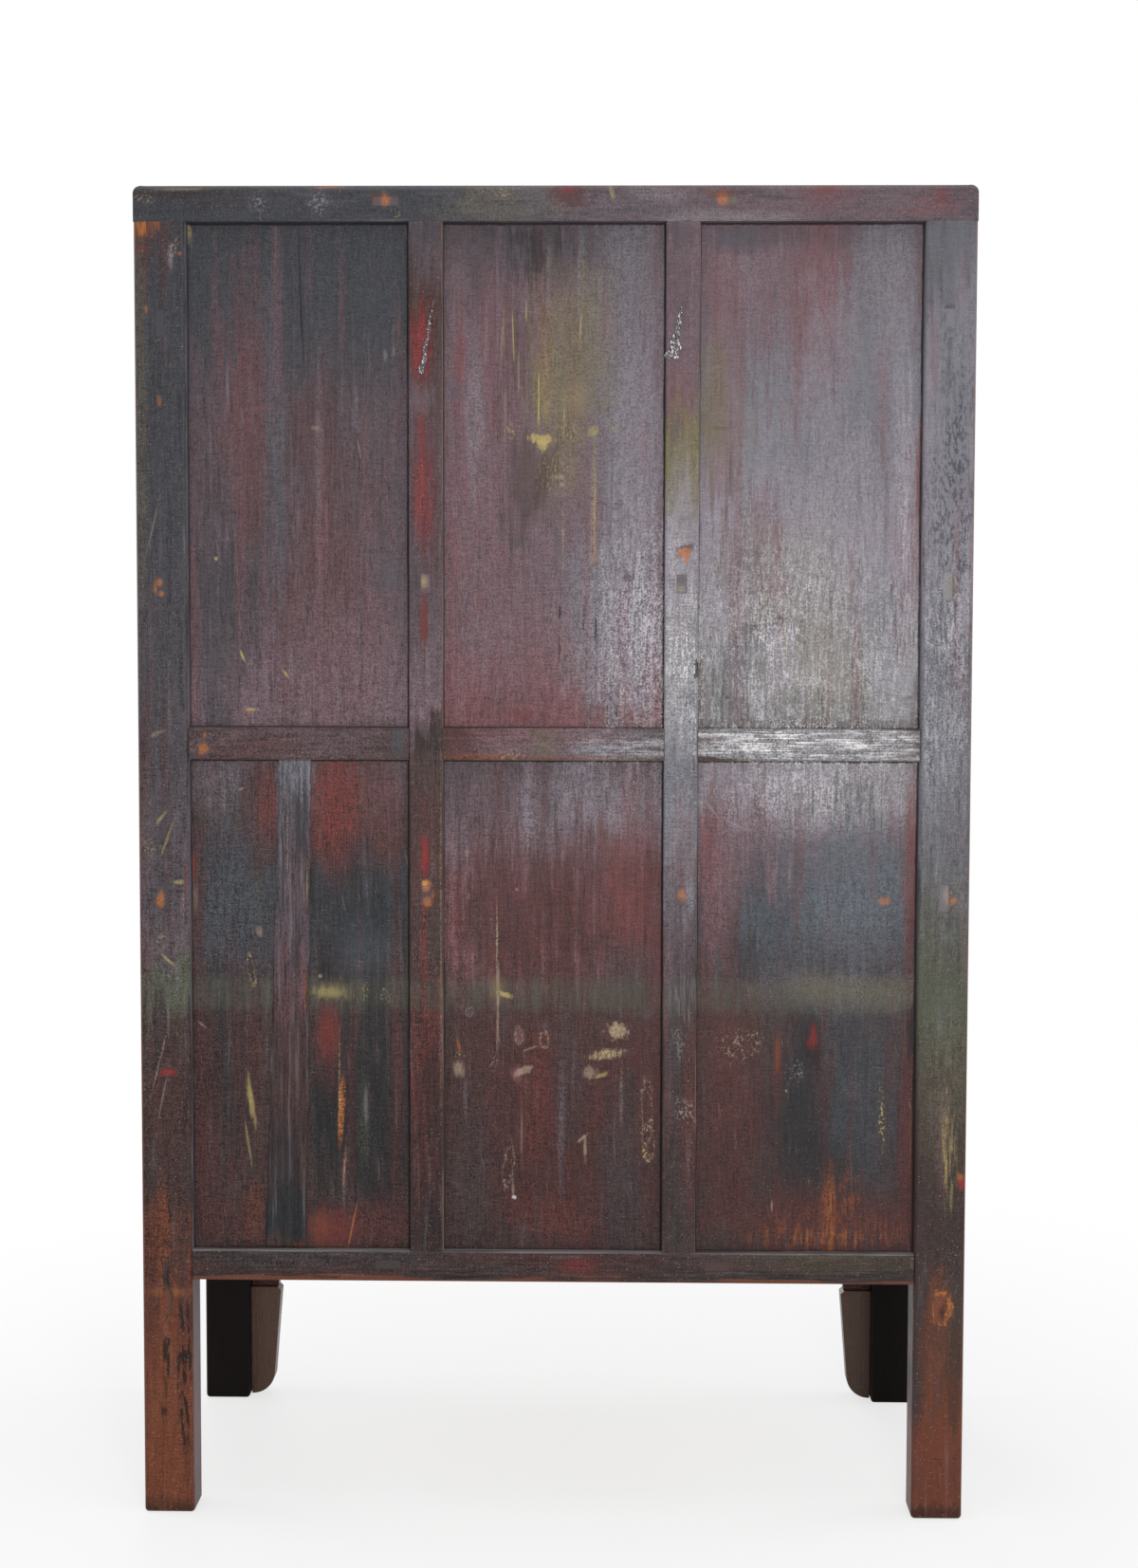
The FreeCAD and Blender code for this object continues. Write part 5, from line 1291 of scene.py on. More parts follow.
def panel_edge_shade(node, reach, *sides):
    """Painted shade: a dark line inside a panel's opening, along the sides that are named as in the
    photograph.
    """
    low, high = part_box(node)

    def where(coat, fine, brush):
        gaps = {
            "left": (high.x - TONGUE) - coat.x,
            "right": coat.x - (low.x + TONGUE),
            "top": (high.z - TONGUE) - coat.z,
            "foot": coat.z - (low.z + TONGUE),
        }
        nearest = gaps[sides[0]]
        for side in sides[1:]:
            nearest = nearest.at_most(gaps[side])
        return coat.step(nearest - (brush - 0.5) * reach - (fine - 0.5) * reach, reach, reach * 0.7)

    return where


def outer_arris(reach):
    """The outer upright corner of a leg."""

    def where(coat, fine, brush):
        inward = (HALF_WIDTH - coat.x.size()).at_least(BACK - coat.y)
        return coat.step(inward - (fine - 0.5) * 0.01, reach, 0.0)

    return where


def arris(axis, level, reach):
    """A painted highlight along an edge of a member; the axis is the one that the level is measured along.
    """

    def where(coat, fine, brush):
        gap = ((coat.z if axis == "z" else coat.x) - level).size()
        uneven = coat.step(brush, 0.40, 0.56, 0.3, 1.0)
        return coat.step(gap - (fine - 0.5) * reach, reach, reach * 0.4) * uneven

    return where


def low_edge(level, reach):
    """The lower edge of a rail, rubbed in long scallops."""

    def where(coat, fine, brush):
        return coat.step(coat.z - level - (brush - 0.5) * 0.03 - (fine - 0.5) * 0.01, reach, reach * 0.5)

    return where


def bare_inside(coat, front):
    """Bare wood on whatever faces the inside of the case; the front is where the inside begins."""
    depth = ((PANEL_FACE - 2 * HAIR) - coat.y).at_most(coat.y - front)
    inside = ((SIDE_FACE - 2 * HAIR) - coat.x.size()).at_most(depth)
    inside = inside.at_most(coat.z - (FLOOR_LEVEL + HAIR)).at_most((LEG_TOP + TOP_SPACE) - coat.z)
    return coat.step(inside, -HAIR, HAIR)


def between_stiles(coat):
    """The rails and battens of both door frames, which lie between their stiles."""
    low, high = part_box("right_door_panel")
    gap = (coat.x.size() - (low.x + TONGUE)).at_most((high.x - TONGUE) - coat.x.size())
    return coat.step(gap, -3 * HAIR, -HAIR)


def wood_colour(coat):
    """Bare planed wood along the grain of a finish."""
    rings = coat.noise(0.007, 0.5, 3, 31)
    pores = coat.noise(0.0012, 0.03, 2, 32)
    age = coat.noise(0.10, 0.3, 3, 33)
    figure = coat.step(rings * 0.7 + age * 0.3, 0.36, 0.70, 0.0, 0.65)
    board = coat.mix(tone("plank", "cabinet_wood"), tone("ring", "cabinet_wood"), figure)
    board = coat.mix(board, tone("ring", "cabinet_wood"), coat.step(pores, 0.42, 0.3, 0.0, 0.5))
    return coat.mix(board, tone("dust", "cabinet_wood"), coat.step(age, 0.45, 0.7, 0.0, 0.4)), rings, pores


def line_inside(coat, front=FRONT + FRONT_FRAME_DEPTH):
    """Changes a lacquered finish to bare wood where it faces the inside of the case."""
    inside = bare_inside(coat, front)
    board, rings, pores = wood_colour(coat)
    coat.lay(board, inside)
    coat.rough = coat.blend(coat.rough, WOOD_ROUGHNESS, inside)


def paint_tenon_ends(coat):
    """Lacquer over the ends of the tenons that come through the back, worn where they stand proud."""
    hair = coat.noise(0.0014, 0.004, 2, 2)
    weave = coat.noise(0.0024, 0.0024, 2, 1)
    cloud = coat.noise(0.02, 0.02, 2, 8)
    coat.kept["small rag"] = coat.kept["wide rag"] = (hair - 0.5) * 1.4 + (weave - 0.5) * 2.0
    coat.kept["rubbed"] = coat.step(weave, 0.38, 0.56, 0.45, 1.0)
    end = coat.step(coat.y, BACK - END_SKIN[0], BACK - END_SKIN[1])
    share = (HALF_WIDTH - coat.x + (cloud - 0.5) * 0.1) / (2 * HALF_WIDTH)
    stops = [(0.0, tone("slate")), (0.35, tone("dusk")), (0.65, tone("dusk")), (1.0, tone("pewter"))]
    paint = coat.node("ShaderNodeValToRGB", {"stops": stops}, {0: share})
    paint = coat.mix(paint, tone("umber"), coat.step(coat.z, 1.2, 0.5, 0.0, 0.8))
    for mark in TENON_ENDS:
        paint = coat.mix(paint, tone(mark.colour), coat.patch(mark, BACK))
    inputs = {0: paint, "Scale": 0.55 + weave * 0.5 + hair * 0.4}
    paint = coat.node("ShaderNodeVectorMath", {"operation": "SCALE"}, inputs)
    coat.lay(paint, end)
    coat.rough = coat.blend(coat.rough, END_ROUGHNESS, end)


# The brass

def old_brass(name, least, most):
    """Hammered brass; the tarnish in its hollows goes from its least to its most."""
    coat = Coat(name)
    inputs = {"Vector": coat.place, "Scale": 130.0}
    dents = coat.node("ShaderNodeTexVoronoi", {"feature": "SMOOTH_F1"}, inputs)
    cloud = coat.noise(0.03, 0.03, 4, 3)
    speck = coat.noise(0.0015, 0.0015, 2, 4)
    scratch = coat.noise(0.0006, 0.02, 1, 6)
    tarnish = coat.step(cloud * 0.6 + dents * 0.4, 0.25, 0.65, least, most)
    coat.colour = coat.mix(tone("bright", "cabinet_brass"), tone("tarnish", "cabinet_brass"), tarnish)
    coat.lay(tone("tarnish", "cabinet_brass"), coat.step(speck, 0.55, 0.7, 0.0, 0.6))
    coat.rough = 0.34 + cloud * 0.3 + scratch * 0.1
    coat.relief = dents * 0.5 + speck * 0.15 + scratch * 0.06
    return coat.done(bump=0.0006, metallic=1.0)


def dome(mesh, centre, radius, facing):
    """One nail head: a low dome, closed underneath."""
    made = bmesh.ops.create_uvsphere(mesh, u_segments=12, v_segments=8, radius=radius)
    verts = made["verts"]
    geometry = verts + list({edge for vert in verts for edge in vert.link_edges})
    geometry += list({face for vert in verts for face in vert.link_faces})
    level = {"plane_co": (0, 0, 0), "plane_no": (0, 0, 1), "clear_inner": True}
    cut = bmesh.ops.bisect_plane(mesh, geom=geometry, **level)
    foot = [item for item in cut["geom_cut"] if isinstance(item, bmesh.types.BMEdge)]
    bmesh.ops.holes_fill(mesh, edges=foot, sides=0)
    kept = {vert for vert in verts if vert.is_valid}
    whole = list(kept | {vert for edge in foot for vert in edge.verts})
    bmesh.ops.scale(mesh, vec=(1, 1, 0.5), verts=whole)
    turn = Vector((0, 0, 1)).rotation_difference(Vector(facing)).to_matrix()
    bmesh.ops.rotate(mesh, matrix=turn, verts=whole)
    bmesh.ops.translate(mesh, vec=Vector(centre) - Vector(facing) * radius * 0.1, verts=whole)


def new_piece(name, mesh, material, body, smooth=True):
    """Turns a bmesh into a piece that rides on a body."""
    data = bpy.data.meshes.new(name)
    bmesh.ops.recalc_face_normals(mesh, faces=mesh.faces[:])
    for face in mesh.faces:
        face.smooth = smooth
    mesh.to_mesh(data)
    mesh.free()
    data.materials.append(material)
    piece = bpy.data.objects.new(name, data)
    bpy.context.scene.collection.objects.link(piece)
    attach(piece, body)
    return piece


def nails(name, centres, body, material, radius):
    """A group of nail heads on brass that faces the front."""
    mesh = bmesh.new()
    for centre in centres:
        dome(mesh, centre, radius, (0, -1, 0))
    return new_piece(name, mesh, material, body)


# The seam cloth

def cloth_finish():
    """Ramie cloth under dark lacquer, rubbed at its edges."""
    coat = Coat("seam_cloth_finish")
    cloth = bpy.context.scene.cabinet_cloth
    turns = 2 * math.pi / cloth.thread
    weave = (coat.x * turns).math("SINE") * (coat.z * turns).math("SINE")
    brush = coat.noise(0.007, 0.16, 3, 3)
    hair = coat.noise(0.0014, 0.030, 2, 2)
    fine = coat.noise(0.0020, 0.0026, 2, 1)
    cloud = coat.noise(0.03, 0.08, 3, 7)
    coat.kept["wide rag"] = (brush - 0.5) * 2.2 + (cloud - 0.5) * 1.8 + (hair - 0.5) * 0.9
    coat.kept["small rag"] = (hair - 0.5) * 1.4 + (fine - 0.5) * 2.0
    coat.kept["rubbed"] = coat.step(fine * 0.6 + hair * 0.4, 0.38, 0.56, 0.45, 1.0)
    low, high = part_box("seam_strip")
    share = (coat.z + (cloud - 0.5) * 0.2 - low.z) / (high.z - low.z)
    stops = [
        (0.0, tone("umber")), (0.06, tone("night")), (0.2, tone("umber")), (0.4, tone("umber")),
        (0.6, tone("dusk")), (0.82, tone("dusk")), (1.0, tone("pewter")),
    ]
    coat.colour = coat.node("ShaderNodeValToRGB", {"stops": stops}, {0: share})
    for mark in SEAM_CLOTH:
        coat.lay(tone(mark.colour), coat.patch(mark, PANEL_FACE))
    coat.shade((fine * 1.8 + hair * 1.5 + brush * 1.2 - 1.42).at_least(0.2))
    coat.lay(tone("lavender"), coat.step(brush, 0.56, 0.72, 0.0, 0.3))
    coat.lay(tone("soot"), coat.step(hair, 0.40, 0.28, 0.0, 0.5))
    coat.rough = 0.5 + (cloud - 0.5) * 0.3
    coat.relief = weave * 0.06 + fine * 0.2 + brush * 0.4
    return coat.done(specular=LACQUER_SHINE)


def seam_cloth():
    """The strip: torn edges, a soft fold near its top and threads that stand off."""
    cloth = bpy.context.scene.cabinet_cloth
    low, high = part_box("seam_strip")
    left_top, right_top = (seen(*corner).x for corner in STRIP_TOP)
    left_low, right_low = (seen(*corner).x for corner in STRIP_FOOT)
    mesh = bmesh.new()
    made = bmesh.ops.create_grid(mesh, x_segments=18, y_segments=220, size=0.5)
    for vert in made["verts"]:
        across, up = vert.co.x + 0.5, vert.co.y + 0.5
        left = left_low + (left_top - left_low) * up
        right = right_low + (right_top - right_low) * up
        edge = abs(across - 0.5) * 2
        wander = noise.noise(Vector((across * 2, up * 14, 0.3))) * WANDER
        torn = noise.noise(Vector((round(across) * 5, up * 90, 1.7))) * TORN * edge ** 6
        ripple = noise.noise(Vector((across * 5, up * 9, 4.1))) * RIPPLE
        fold = FOLD * math.exp(-(((across - 0.55 - 0.1 * math.sin(up * 9)) / 0.09) ** 2)) * up
        lift = LIFT * edge ** 8
        x = left + (right - left) * across + wander + torn
        y = PANEL_FACE + HAIR / 2 + max(ripple + fold + lift, 0.0)
        vert.co = Vector((x, y, low.z + (high.z - low.z) * up))
    for face in mesh.faces:
        face.normal_update()
    piece = new_piece("seam_cloth", mesh, cloth_finish(), "root")
    wall = piece.modifiers.new("Thickness", "SOLIDIFY")
    wall.thickness = cloth.thickness
    wall.offset = 1.0
    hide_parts("seam_strip")
    return piece


# Blisters of lacquer on the muntins: top and foot in the photograph, half widths and height in metres

BLISTERS = {
    "right_muntin_blister": ((457, 316), (444, 394), 0.0014, 0.0050, 0.0014),
    "left_muntin_blister": ((719, 322), (709, 378), 0.0012, 0.013, 0.0016),
}


def blister_finish():
    """Lacquer that has puckered into a glossy skin, with painted shade in its creases and painted highlights
    on it.
    """
    coat = Coat("blister_finish")
    cloud = coat.noise(0.006, 0.012, 3, 3)
    crease = coat.noise(0.0022, 0.006, 2, 5)
    spark = coat.noise(0.0022, 0.0040, 2, 6)
    coat.colour = coat.mix(tone("dusk"), tone("oxblood"), coat.step(cloud, 0.45, 0.6))
    # Painted shade in the creases, then painted highlights where the skin catches the light.
    coat.lay(tone("soot"), coat.step(crease, 0.54, 0.48))
    coat.lay(tone("glare"), coat.step(spark, 0.57, 0.60))
    coat.rough = 0.10 + cloud * 0.15
    coat.relief = crease * 1.2 + spark * 0.8
    return coat.done(bump=0.0016, specular=SKIN_SHINE)


def blister(name, top, foot, half_top, half_foot, height, material):
    """A puckered skin from one pixel down to another, tapering from one half width to the other."""
    start, end = seen(*top, BACK), seen(*foot, BACK)
    mesh = bmesh.new()
    made = bmesh.ops.create_grid(mesh, x_segments=14, y_segments=46, size=0.5)
    for vert in made["verts"]:
        across, down = vert.co.x * 2, vert.co.y + 0.5
        half = half_top + (half_foot - half_top) * down
        half *= 0.7 + 0.5 * noise.noise(Vector((down * 7, across, 2.0)))
        ridges = 1 - abs(noise.noise(Vector((across * 2.5, down * 9, 7.0)))) * 2
        swell = (1 - across ** 2) * math.sin(math.pi * min(max(down, 0.0), 1.0)) ** 0.5
        centre = start + (end - start) * down
        lift = HAIR / 2 + height * swell * max(ridges, 0.0) ** 2
        vert.co = Vector((centre.x + across * half, BACK + lift, centre.z))
    piece = new_piece(name, mesh, material, "root")
    wall = piece.modifiers.new("Thickness", "SOLIDIFY")
    wall.thickness = HAIR
    return piece


# The stage: the cabinet's middle and the floor, in metres

MIDDLE = (0, 0, TOP / 2)
FLOOR_RADIUS = 14
FLOOR_SIDES = 96
FLOOR_DROP = 0.0005

# The lamps: their place, what they aim at, their size and their share of the key's power

LAMPS = (
    ("key_lamp", (-0.66, 3.7, 1.16), (-0.2, 0, 1.0), 0.7, 1.0),
    ("front_lamp", (1.0, -3.7, 1.6), MIDDLE, 1.6, 1.0),
    ("left_lamp", (-3.6, -0.4, 1.8), MIDDLE, 1.6, 0.6),
    ("right_lamp", (3.6, -0.4, 1.8), MIDDLE, 1.6, 0.6),
    ("top_lamp", (0, 0.6, 4.4), MIDDLE, 2.0, 0.8),
)


def area_lamp(name, place, aim, size, power):
    """A large soft lamp that the camera doesn't see."""
    lamp = bpy.data.lights.new(name, "AREA")
    lamp.shape = "SQUARE"
    lamp.size = size
    lamp.energy = power
    made = bpy.data.objects.new(name, lamp)
    made.location = place
    made.rotation_euler = (Vector(aim) - Vector(place)).to_track_quat("-Z", "Y").to_euler()
    made.visible_camera = False
    bpy.context.scene.collection.objects.link(made)
    return made


def white_world(sky):
    """A world that looks white and lights the object from all round."""
    world = bpy.data.worlds.new("studio")
    world.use_nodes = True
    graph = Graph(world.node_tree)
    strength = graph.shown_rays() * (1 - sky) + sky
    light = graph.node("ShaderNodeBackground", {}, {"Color": (1, 1, 1, 1), "Strength": strength})
    graph.node("ShaderNodeOutputWorld", {}, {"Surface": light})
    bpy.context.scene.world = world


def floor_finish():
    """A white floor that keeps a soft shadow near the object and melts into the white world."""
    coat = Coat("floor_finish")
    radius = (coat.x * coat.x + coat.y * coat.y).math("SQRT")
    far = coat.step(radius, 0.8, 2.0, 0.7, 1.0)
    cloth = coat.node("ShaderNodeBsdfDiffuse", {}, {"Color": (0.9, 0.9, 0.9, 1)})
    white = coat.node("ShaderNodeEmission", {}, {"Color": (1, 1, 1, 1), "Strength": 1.0})
    shader = coat.node("ShaderNodeMixShader", {}, {0: far * coat.shown_rays(), 1: cloth, 2: white})
    coat.node("ShaderNodeOutputMaterial", {}, {"Surface": shader})
    return coat.material


class CabinetStep:
    """What every step of the cabinet shares"""

    bl_options = {"REGISTER", "UNDO"}


class BuildStage(CabinetStep, bpy.types.Operator):
    """Puts up the photograph's camera, the soft lamps, the white world and the floor"""

    bl_idname = "cabinet.build_stage"
    bl_label = "Build the stage"

    def execute(self, context):
        stage = context.scene.cabinet_stage
        view = context.scene.view_settings
        view.view_transform = "Standard"
        lens = bpy.data.cameras.new("photograph")
        lens.sensor_width = SENSOR
        lens.lens = stage.focal_pixels / PHOTO_HIGH * SENSOR
        lens.clip_end = 100
        camera = bpy.data.objects.new("photograph", lens)
        camera.location = stage.camera_place
        camera.rotation_euler = stage.camera_turn
        context.scene.collection.objects.link(camera)
        context.scene.camera = camera
        white_world(stage.sky)
        for name, place, aim, size, share in LAMPS:
            area_lamp(name, place, aim, size, stage.key * share)
        mesh = bmesh.new()
        bmesh.ops.create_circle(mesh, cap_ends=True, segments=FLOOR_SIDES, radius=FLOOR_RADIUS)
        data = bpy.data.meshes.new("floor")
        mesh.to_mesh(data)
        mesh.free()
        data.materials.append(floor_finish())
        floor = bpy.data.objects.new("floor", data)
        floor.location.z = -FLOOR_DROP
        context.scene.collection.objects.link(floor)
        return {"FINISHED"}


class PaintBackPanels(CabinetStep, bpy.types.Operator):
    """Lays the worn lacquer on the six panels of the back, with painted shade inside their openings"""

    bl_idname = "cabinet.paint_back_panels"
    bl_label = "Paint the back panels"

    def execute(self, context):
        panels = (
            ("back_upper_right_panel", UPPER_LEFT_GROUND, UPPER_LEFT, ("rose", "slate")),
            ("back_upper_middle_panel", UPPER_MIDDLE_GROUND, UPPER_MIDDLE, ("rose", "slate")),
            ("back_upper_left_panel", UPPER_RIGHT_GROUND, UPPER_RIGHT, ("rose", "slate")),
            ("back_lower_right_panel", LOWER_LEFT_GROUND, LOWER_LEFT, ("oxblood", "night")),
            ("back_lower_middle_panel", LOWER_MIDDLE_GROUND, LOWER_MIDDLE, ("oxblood", "night")),
            ("back_lower_left_panel", LOWER_RIGHT_GROUND, LOWER_RIGHT, ("oxblood", "night")),
        )
        for node, ground, marks, tints in panels:
            # Painted shade inside each opening: broad at the right and top, thin at the left and foot.
            shadow = (panel_edge_shade(node, 0.0032, "right", "top"), "soot", 0.9)
            line = (panel_edge_shade(node, 0.0016, "left", "foot"), "soot", 0.7)
            paint(node, "z", ground, marks, PANEL_FACE, (shadow, line), tints)
        return {"FINISHED"}


class PaintBackFrame(CabinetStep, bpy.types.Operator):
    """Lays the worn lacquer on the rear legs, the muntins and the rails of the back, with painted highlights
    along some arrises
    """

    bl_idname = "cabinet.paint_back_frame"
    bl_label = "Paint the back frame"

    def execute(self, context):
        rail_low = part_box("back_bottom_rail")[0].z
        outside = ((outer_arris(0.005), "rust", 0.45),)
        # The pale lines along the arrises are painted highlights where the edges catch the light; the rust
        # on the outer corners and the lower edge is wear.
        left_leg = (*outside, (arris("x", LEG_INSIDE, 0.0016), "pewter", 0.7))
        edges = [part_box(f"back_{word}_muntin")[0].x for word in ("right", "left")]
        muntins = [((arris("x", edge, 0.0015), "bone", 0.5),) for edge in edges]
        low_rail = (
            (low_edge(rail_low, 0.007), "rust", 0.6),
            (arris("z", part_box("back_bottom_rail")[1].z, 0.0022), "ash", 0.6),
        )
        middle_rails = ((arris("z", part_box("back_middle_rails")[0].z, 0.0016), "olive", 0.6),)
        dark, pale = ("oxblood", "night"), ("rose", "slate")
        members = (
            ("rear_right_leg", "z", LEFT_LEG_GROUND, LEFT_LEG, left_leg, dark),
            ("rear_left_leg", "z", RIGHT_LEG_GROUND, RIGHT_LEG, outside, pale),
            ("back_right_muntin", "z", LEFT_MUNTIN_GROUND, LEFT_MUNTIN, muntins[0], dark),
            ("back_left_muntin", "z", RIGHT_MUNTIN_GROUND, RIGHT_MUNTIN, muntins[1], pale),
            ("top_back_rail", "x", TOP_RAIL_GROUND, TOP_RAIL, (), ("umber", "night")),
            ("back_middle_rails", "x", MIDDLE_RAIL_GROUND, MIDDLE_RAIL, middle_rails, pale),
            ("back_bottom_rail", "x", LOW_RAIL_GROUND, LOW_RAIL, low_rail, dark),
        )
        for node, grain, ground, marks, edge_wear_and_light, tints in members:
            paint(node, grain, ground, marks, BACK, edge_wear_and_light, tints)
        return {"FINISHED"}


class PaintSides(CabinetStep, bpy.types.Operator):
    """Lays plainer lacquer on the sides and the top"""

    bl_idname = "cabinet.paint_sides"
    bl_label = "Paint the sides and the top"

    def execute(self, context):
        bottom_rails = ("left_side_bottom_rail", "right_side_bottom_rail")
        groups = (
            ("side_panel_finish", "z", "x", ("umber", "dusk"), ("left_side_panel", "right_side_panel")),
            ("top_panel_finish", "x", "z", ("slate", "umber"), ("top_panel",)),
            ("side_rail_finish", "y", "x", ("umber", "oxblood"), bottom_rails),
            ("top_side_rail_finish", "y", "x", ("slate", "dusk"), ("top_left_rail", "top_right_rail")),
        )
        for name, grain, normal, ground, members in groups:
            coat = old_lacquer(name, grain, ground, tints=("oxblood", "slate"), normal=normal)
            line_inside(coat)
            if name == "side_rail_finish":
                paint_tenon_ends(coat)
            finish(coat.done(), *members)
        return {"FINISHED"}


class PaintFront(CabinetStep, bpy.types.Operator):
    """Lays red lacquer on the doors and drawers, and dark lacquer on what frames them"""

    bl_idname = "cabinet.paint_front"
    bl_label = "Paint the front"

    def execute(self, context):
        dark = ("oxblood", "umber")
        red = ("cinnabar", "oxblood")
        groups = (
            ("door_panel_finish", "z", red, ("left_door_panel", "right_door_panel")),
            ("door_frame_finish", "z", dark, ("left_door_frame", "right_door_frame")),
            ("drawer_front_finish", "x", red, ("left_drawer_front", "right_drawer_front")),
            ("front_rail_finish", "x", dark, ("front_bottom_rail", "drawer_rail", "drawer_divider")),
            ("apron_finish", "x", dark, ("front_apron",)),
            ("bracket_finish", "z", ("umber", "oxblood"), ("left_apron_bracket", "right_apron_bracket")),
            ("front_leg_finish", "z", ("umber", "oxblood"), ("front_left_leg", "front_right_leg")),
            ("top_front_rail_finish", "x", ("umber", "slate"), ("top_front_rail",)),
        )
        for name, grain, ground, members in groups:
            tints = red if ground == red else ("brick", "soot")
            across = between_stiles if name == "door_frame_finish" else None
            coat = old_lacquer(name, grain, ground, gloss=FRONT_GLOSS, tints=tints, across=across)
            if name == "front_leg_finish":
                # Painted shadow: the backs of the front legs lie in the shade of the case and are laid near
                # black.
                self.darken_back(coat, "soot", 0.98)
            if name == "bracket_finish":
                self.darken_back(coat, "moss", 0.5)
                self.darken_back(coat, "rust", 0.2)
            line_inside(coat, self.inside_of_doors(coat, name))
            shine = LEG_SHINE if name == "front_leg_finish" else LACQUER_SHINE
            finish(coat.done(specular=shine), *members)
        return {"FINISHED"}

    @staticmethod
    def inside_of_doors(coat, name):
        """Where a finish turns to bare wood; in the doors that is at the back of their panels."""
        panel_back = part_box("right_door_panel")[1].y - 3 * HAIR
        if name == "door_panel_finish":
            return panel_back
        if name == "door_frame_finish":
            return coat.blend(FRONT + FRONT_FRAME_DEPTH, panel_back, between_stiles(coat))
        return FRONT + FRONT_FRAME_DEPTH

    @staticmethod
    def darken_back(coat, word, share):
        """Lays another colour on what faces the back, but not on the outer sides; on the front legs it is
        near-black painted shadow.
        """
        ragged = coat.y + coat.kept["small rag"] * 0.004
        start, full = DARK_BEHIND
        behind = coat.step(ragged, FRONT + start, FRONT + full, 0.0, share)
        start, full = DARK_WITHIN
        within = coat.step(coat.x.size(), HALF_WIDTH - start, HALF_WIDTH - full, 1.0, 0.0)
        coat.lay(tone(word), behind * within)


class FinishInside(CabinetStep, bpy.types.Operator):
    """Gives the shelves, boards, battens and drawer boxes the look of bare wood"""

    bl_idname = "cabinet.finish_inside"
    bl_label = "Finish the inside"

    def execute(self, context):
        battens = ("left_side_battens", "right_side_battens")
        groups = (
            ("x", ("upper_shelf", "lower_shelf", "floor_boards", "dust_boards", "shelf_rails")),
            ("y", ("floor_braces", "top_braces", "shelf_bearers", *battens)),
            ("yx", ("drawer_guides", "left_drawer_box", "right_drawer_box")),
        )
        for number, (grain, members) in enumerate(groups):
            coat = Coat(f"bare_wood_finish_{number}", grain)
            coat.colour, rings, pores = wood_colour(coat)
            coat.rough = 0.62 + rings * 0.2
            coat.relief = rings * 0.2 + pores * 0.2
            if "top_braces" in members:
                paint_tenon_ends(coat)
            finish(coat.done(specular=WOOD_SHINE), *members)
        return {"FINISHED"}


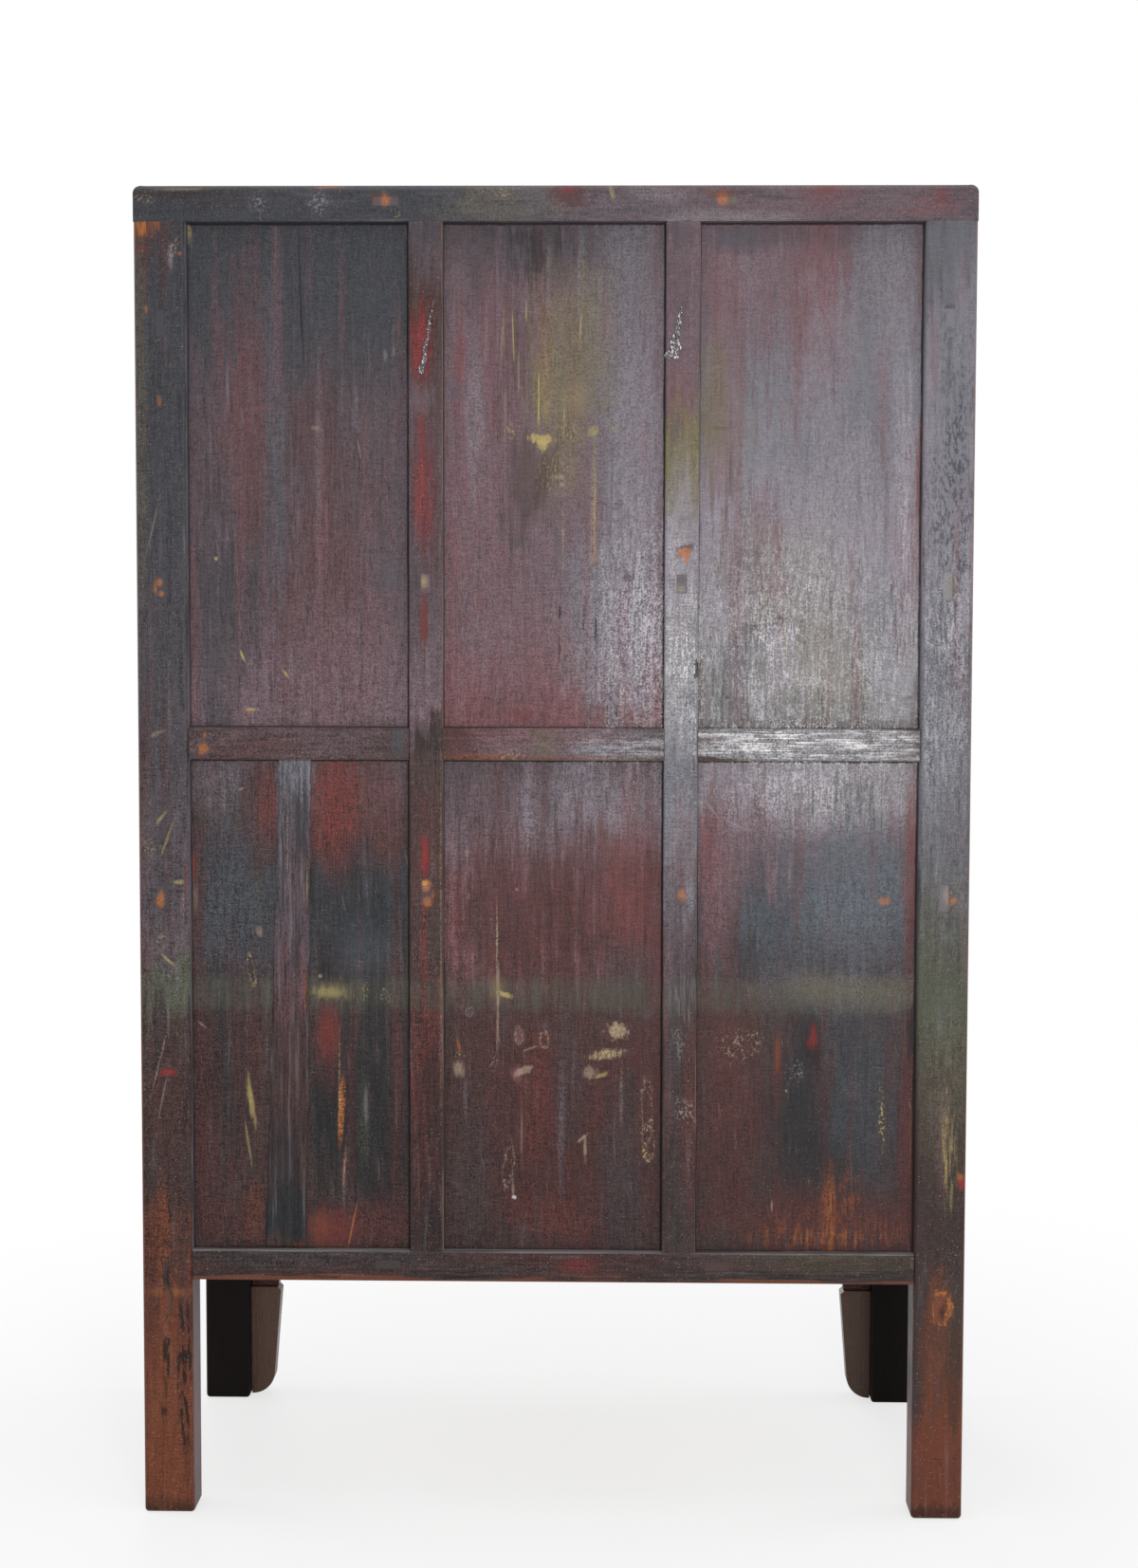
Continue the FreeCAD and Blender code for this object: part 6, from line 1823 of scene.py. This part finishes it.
class FinishBrass(CabinetStep, bpy.types.Operator):
    """Gives the brass its finish and drives its nails"""

    bl_idname = "cabinet.finish_brass"
    bl_label = "Finish the brass"

    def execute(self, context):
        brass = context.scene.cabinet_brass
        sheet = old_brass("old_brass_finish", 0.45, 0.95)
        handled = old_brass("handled_brass_finish", 0.0, 0.45)
        finish(sheet, "hinge_leaves_on_legs")
        for word, side in (("left", -1), ("right", 1)):
            finish(sheet, *(f"{word}_{part}" for part in ("door_hinges", "lock_plate", "drawer_plate")))
            finish(handled, *(f"{word}_{part}" for part in ("door_pull", "drawer_pull")))
            self.nail_leaves(word, side, handled, brass)
            self.nail_lock_plate(word, side, handled, brass)
            self.nail_drawer_plate(word, handled, brass)
        return {"FINISHED"}

    def nail_leaves(self, word, side, material, brass):
        """Two columns of nails in each leaf of the hinges on one side."""
        low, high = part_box(f"{word}_door_hinges")
        axis = side * AXIS_REACH
        near, far = LEAF_START + LEAF_INSET, LEAF_START + LEAF_WIDTH - LEAF_INSET
        step = (LEAF_HEIGHT - 2 * LEAF_INSET) / (brass.leaf_nails - 1)
        for body, way in ((f"{word}_door", -side), ("root", side)):
            centres = []
            for start in (low.z, high.z - LEAF_HEIGHT):
                for number in range(brass.leaf_nails):
                    z = start + LEAF_INSET + step * number
                    centres += [(axis + way * reach, FRONT - LEAF_THICKNESS, z) for reach in (near, far)]
            nails(f"{word}_hinge_nails_{body}", centres, body, material, brass.nail_radius)

    def nail_lock_plate(self, word, side, material, brass):
        """Nails round one half of the lock plate."""
        low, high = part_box(f"{word}_lock_plate")
        middle = (low.z + high.z) / 2
        reach = (high.z - low.z) / 2 - PLATE_NAIL_INSET
        centres = []
        for number in range(brass.plate_nails):
            angle = math.radians(PLATE_NAIL_SPREAD * (2 * number / (brass.plate_nails - 1) - 1))
            x, z = side * reach * math.cos(angle), middle + reach * math.sin(angle)
            centres.append((x, FRONT - LEAF_THICKNESS, z))
        nails(f"{word}_lock_plate_nails", centres, f"{word}_door", material, brass.nail_radius)

    def nail_drawer_plate(self, word, material, brass):
        """Four nails round a drawer's plate."""
        low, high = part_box(f"{word}_drawer_plate")
        middle_x, middle_z = (low.x + high.x) / 2, (low.z + high.z) / 2
        reach = (high.x - low.x) / 2 * DRAWER_NAIL_REACH * math.sqrt(0.5)
        corners = ((reach, reach), (-reach, reach), (-reach, -reach), (reach, -reach))
        centres = [(middle_x + x, FRONT - LEAF_THICKNESS, middle_z + z) for x, z in corners]
        radius = brass.nail_radius * DRAWER_NAIL_SIZE
        nails(f"{word}_drawer_plate_nails", centres, f"{word}_drawer", material, radius)


class LaySeamCloth(CabinetStep, bpy.types.Operator):
    """Lays the strip of cloth over the board joint of a lower panel"""

    bl_idname = "cabinet.lay_seam_cloth"
    bl_label = "Lay the seam cloth"

    def execute(self, context):
        seam_cloth()
        return {"FINISHED"}


class RaiseBlisters(CabinetStep, bpy.types.Operator):
    """Puckers the lacquer on the two muntins"""

    bl_idname = "cabinet.raise_blisters"
    bl_label = "Raise the blisters"

    def execute(self, context):
        material = blister_finish()
        for name, shape in BLISTERS.items():
            blister(name, *shape, material)
        return {"FINISHED"}


STEPS = (
    BuildStage,
    PaintBackPanels,
    PaintBackFrame,
    PaintSides,
    PaintFront,
    FinishInside,
    FinishBrass,
    LaySeamCloth,
    RaiseBlisters,
)


class CabinetPanel(bpy.types.Panel):
    """Lists the steps of the cabinet and their settings"""

    bl_idname = "VIEW3D_PT_cabinet"
    bl_label = "Wedding cabinet"
    bl_space_type = "VIEW_3D"
    bl_region_type = "UI"
    bl_category = "Cabinet"

    def draw(self, context):
        for step in STEPS:
            self.layout.operator(step.bl_idname)
        for word, group in SETTINGS.items():
            box = self.layout.box()
            box.label(text=group.__doc__)
            for name in group.__annotations__:
                box.prop(getattr(context.scene, word), name)


def register():
    for group in SETTINGS.values():
        bpy.utils.register_class(group)
    for word, group in SETTINGS.items():
        setattr(bpy.types.Scene, word, PointerProperty(type=group))
    for step in STEPS:
        bpy.utils.register_class(step)
    bpy.utils.register_class(CabinetPanel)


def unregister():
    bpy.utils.unregister_class(CabinetPanel)
    for step in reversed(STEPS):
        bpy.utils.unregister_class(step)
    for word, group in SETTINGS.items():
        delattr(bpy.types.Scene, word)
        bpy.utils.unregister_class(group)


def main():
    register()
    for step in STEPS:
        group, name = step.bl_idname.split(".")
        getattr(getattr(bpy.ops, group), name)()


if __name__ == "__main__":
    main()
